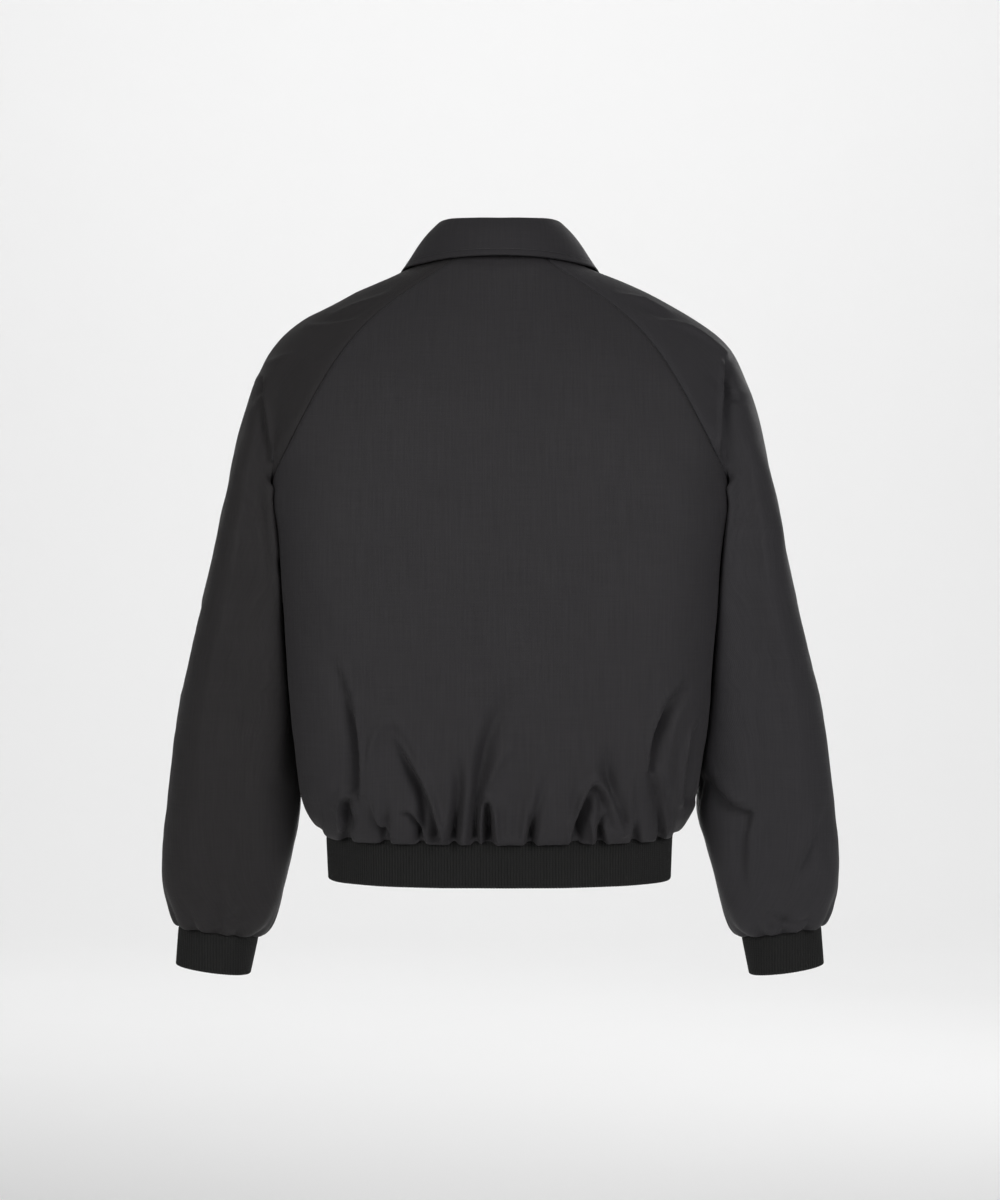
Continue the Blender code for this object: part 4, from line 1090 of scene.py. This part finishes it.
FRONT_STITCH_IN = 6
FRONT_EDGE = 7.5
for side, name in SIDES:
    top, foot, past = [(FRONT_EDGE * side, y, z) for y, z in ((-90, -62), (-112, HEM_Z), (-142, -330))]
    edge = rim_walk(fronts[name], top, foot, past)
    stitched(f"front_edge_stitches_{name}", fronts[name], edge[3:-3], FRONT_STITCH_IN, THREAD)

# ---- Studio ----
# A pale floor runs up into a pale wall behind, under soft even light, with the camera square to the back.

FLOOR_Z = -1.25
FLOOR_HALF = 12.0
WALL_AWAY = 7.0
WALL_TOP = 4.0
SWEEP_ROUND = 2.0


def swept_floor():
    """A floor that curves up into a wall on the far side, as one sheet. The other sides stay open."""
    mesh = bmesh.new()
    bend = -WALL_AWAY + SWEEP_ROUND
    line = [mesh.verts.new((-FLOOR_HALF, y, FLOOR_Z)) for y in (FLOOR_HALF, bend)]
    mesh.edges.new(line)
    bmesh.ops.spin(
        mesh, geom=[line[1]], cent=(-FLOOR_HALF, bend, FLOOR_Z + SWEEP_ROUND), axis=(1, 0, 0),
        angle=-math.pi / 2, steps=24, use_merge=False, use_normal_flip=False, use_duplicate=False,
    )
    top = min(mesh.verts, key=lambda v: v.co.y)
    end = bmesh.ops.extrude_vert_indiv(mesh, verts=[top])["verts"]
    bmesh.ops.translate(mesh, vec=(0, 0, WALL_TOP), verts=end)
    across = bmesh.ops.extrude_edge_only(mesh, edges=mesh.edges)["geom"]
    moved = [v for v in across if isinstance(v, bmesh.types.BMVert)]
    bmesh.ops.translate(mesh, vec=(2 * FLOOR_HALF, 0, 0), verts=moved)
    bmesh.ops.recalc_face_normals(mesh, faces=mesh.faces)
    return add_piece("studio_floor", mesh)


floor = swept_floor()
paint, tree, surface = new_finish("pale_floor", {"Roughness": 0.95, "Specular IOR Level": 0.0})
grain = noise(tree, put(tree, "TexCoord").outputs["Object"], 3.0, 2.0)
tint = put(tree, "MapRange", [("Value", grain), ("To Min", 0.885), ("To Max", 0.895)])
tree.links.new(tint.outputs["Result"], surface.inputs["Base Color"])
floor.data.materials.append(paint)

WHITE = (1.0, 1.0, 1.0)
LIGHT_COLUMNS = ("name", "place", "aim", "width", "height", "watts", "colour")
LIGHTS = (
    ("right", (-1.9, 2.7, 0.7), (0, 0, -0.35), 1.3, 1.6, 46, (1.0, 0.985, 1.0)),
    ("left", (1.9, 2.7, 0.6), (0, 0, -0.35), 1.3, 1.6, 40.5, (1.0, 0.99, 0.975)),
    ("top", (0, 0.9, 2.4), (0, 0, -0.2), 2.0, 1.0, 7, WHITE),
    ("edge", (-1.7, -2.7, 0.9), (0, 0, -0.3), 1.3, 1.2, 18, WHITE),
    ("front", (0, -1.3, -0.3), (0, 0, -0.33), 0.5, 0.5, 8, WHITE),
    ("wall", (0, -2.8, 3.0), (0, -6.8, -0.3), 8.0, 2.0, 204, WHITE),
)
for row in LIGHTS:
    light = dict(zip(LIGHT_COLUMNS, row))
    lamp = bpy.data.lights.new(light["name"], "AREA")
    lamp.shape = "RECTANGLE"
    lamp.size, lamp.size_y = light["width"], light["height"]
    lamp.energy = light["watts"]
    lamp.color = light["colour"]
    stand_in = placed(light["name"], lamp)
    stand_in.location = light["place"]
    beam = Vector(light["aim"]) - Vector(light["place"])
    stand_in.rotation_euler = beam.to_track_quat("-Z", "Y").to_euler()
    stand_in.visible_camera = False

world = bpy.data.worlds.new("studio")
world.use_nodes = True
sky = world.node_tree.nodes["Background"]
sky.inputs["Color"].default_value = (0.9, 0.9, 0.9, 1)
sky.inputs["Strength"].default_value = 0.21
bpy.context.scene.world = world
bpy.context.scene.view_settings.view_transform = "Standard"

camera = bpy.data.cameras.new("camera")
camera.lens = 90
camera.sensor_width = 36
eye = placed("camera", camera)
eye.location = (0, 3.0, -0.335)
eye.rotation_euler = (math.pi / 2, 0, math.pi)
bpy.context.scene.camera = eye
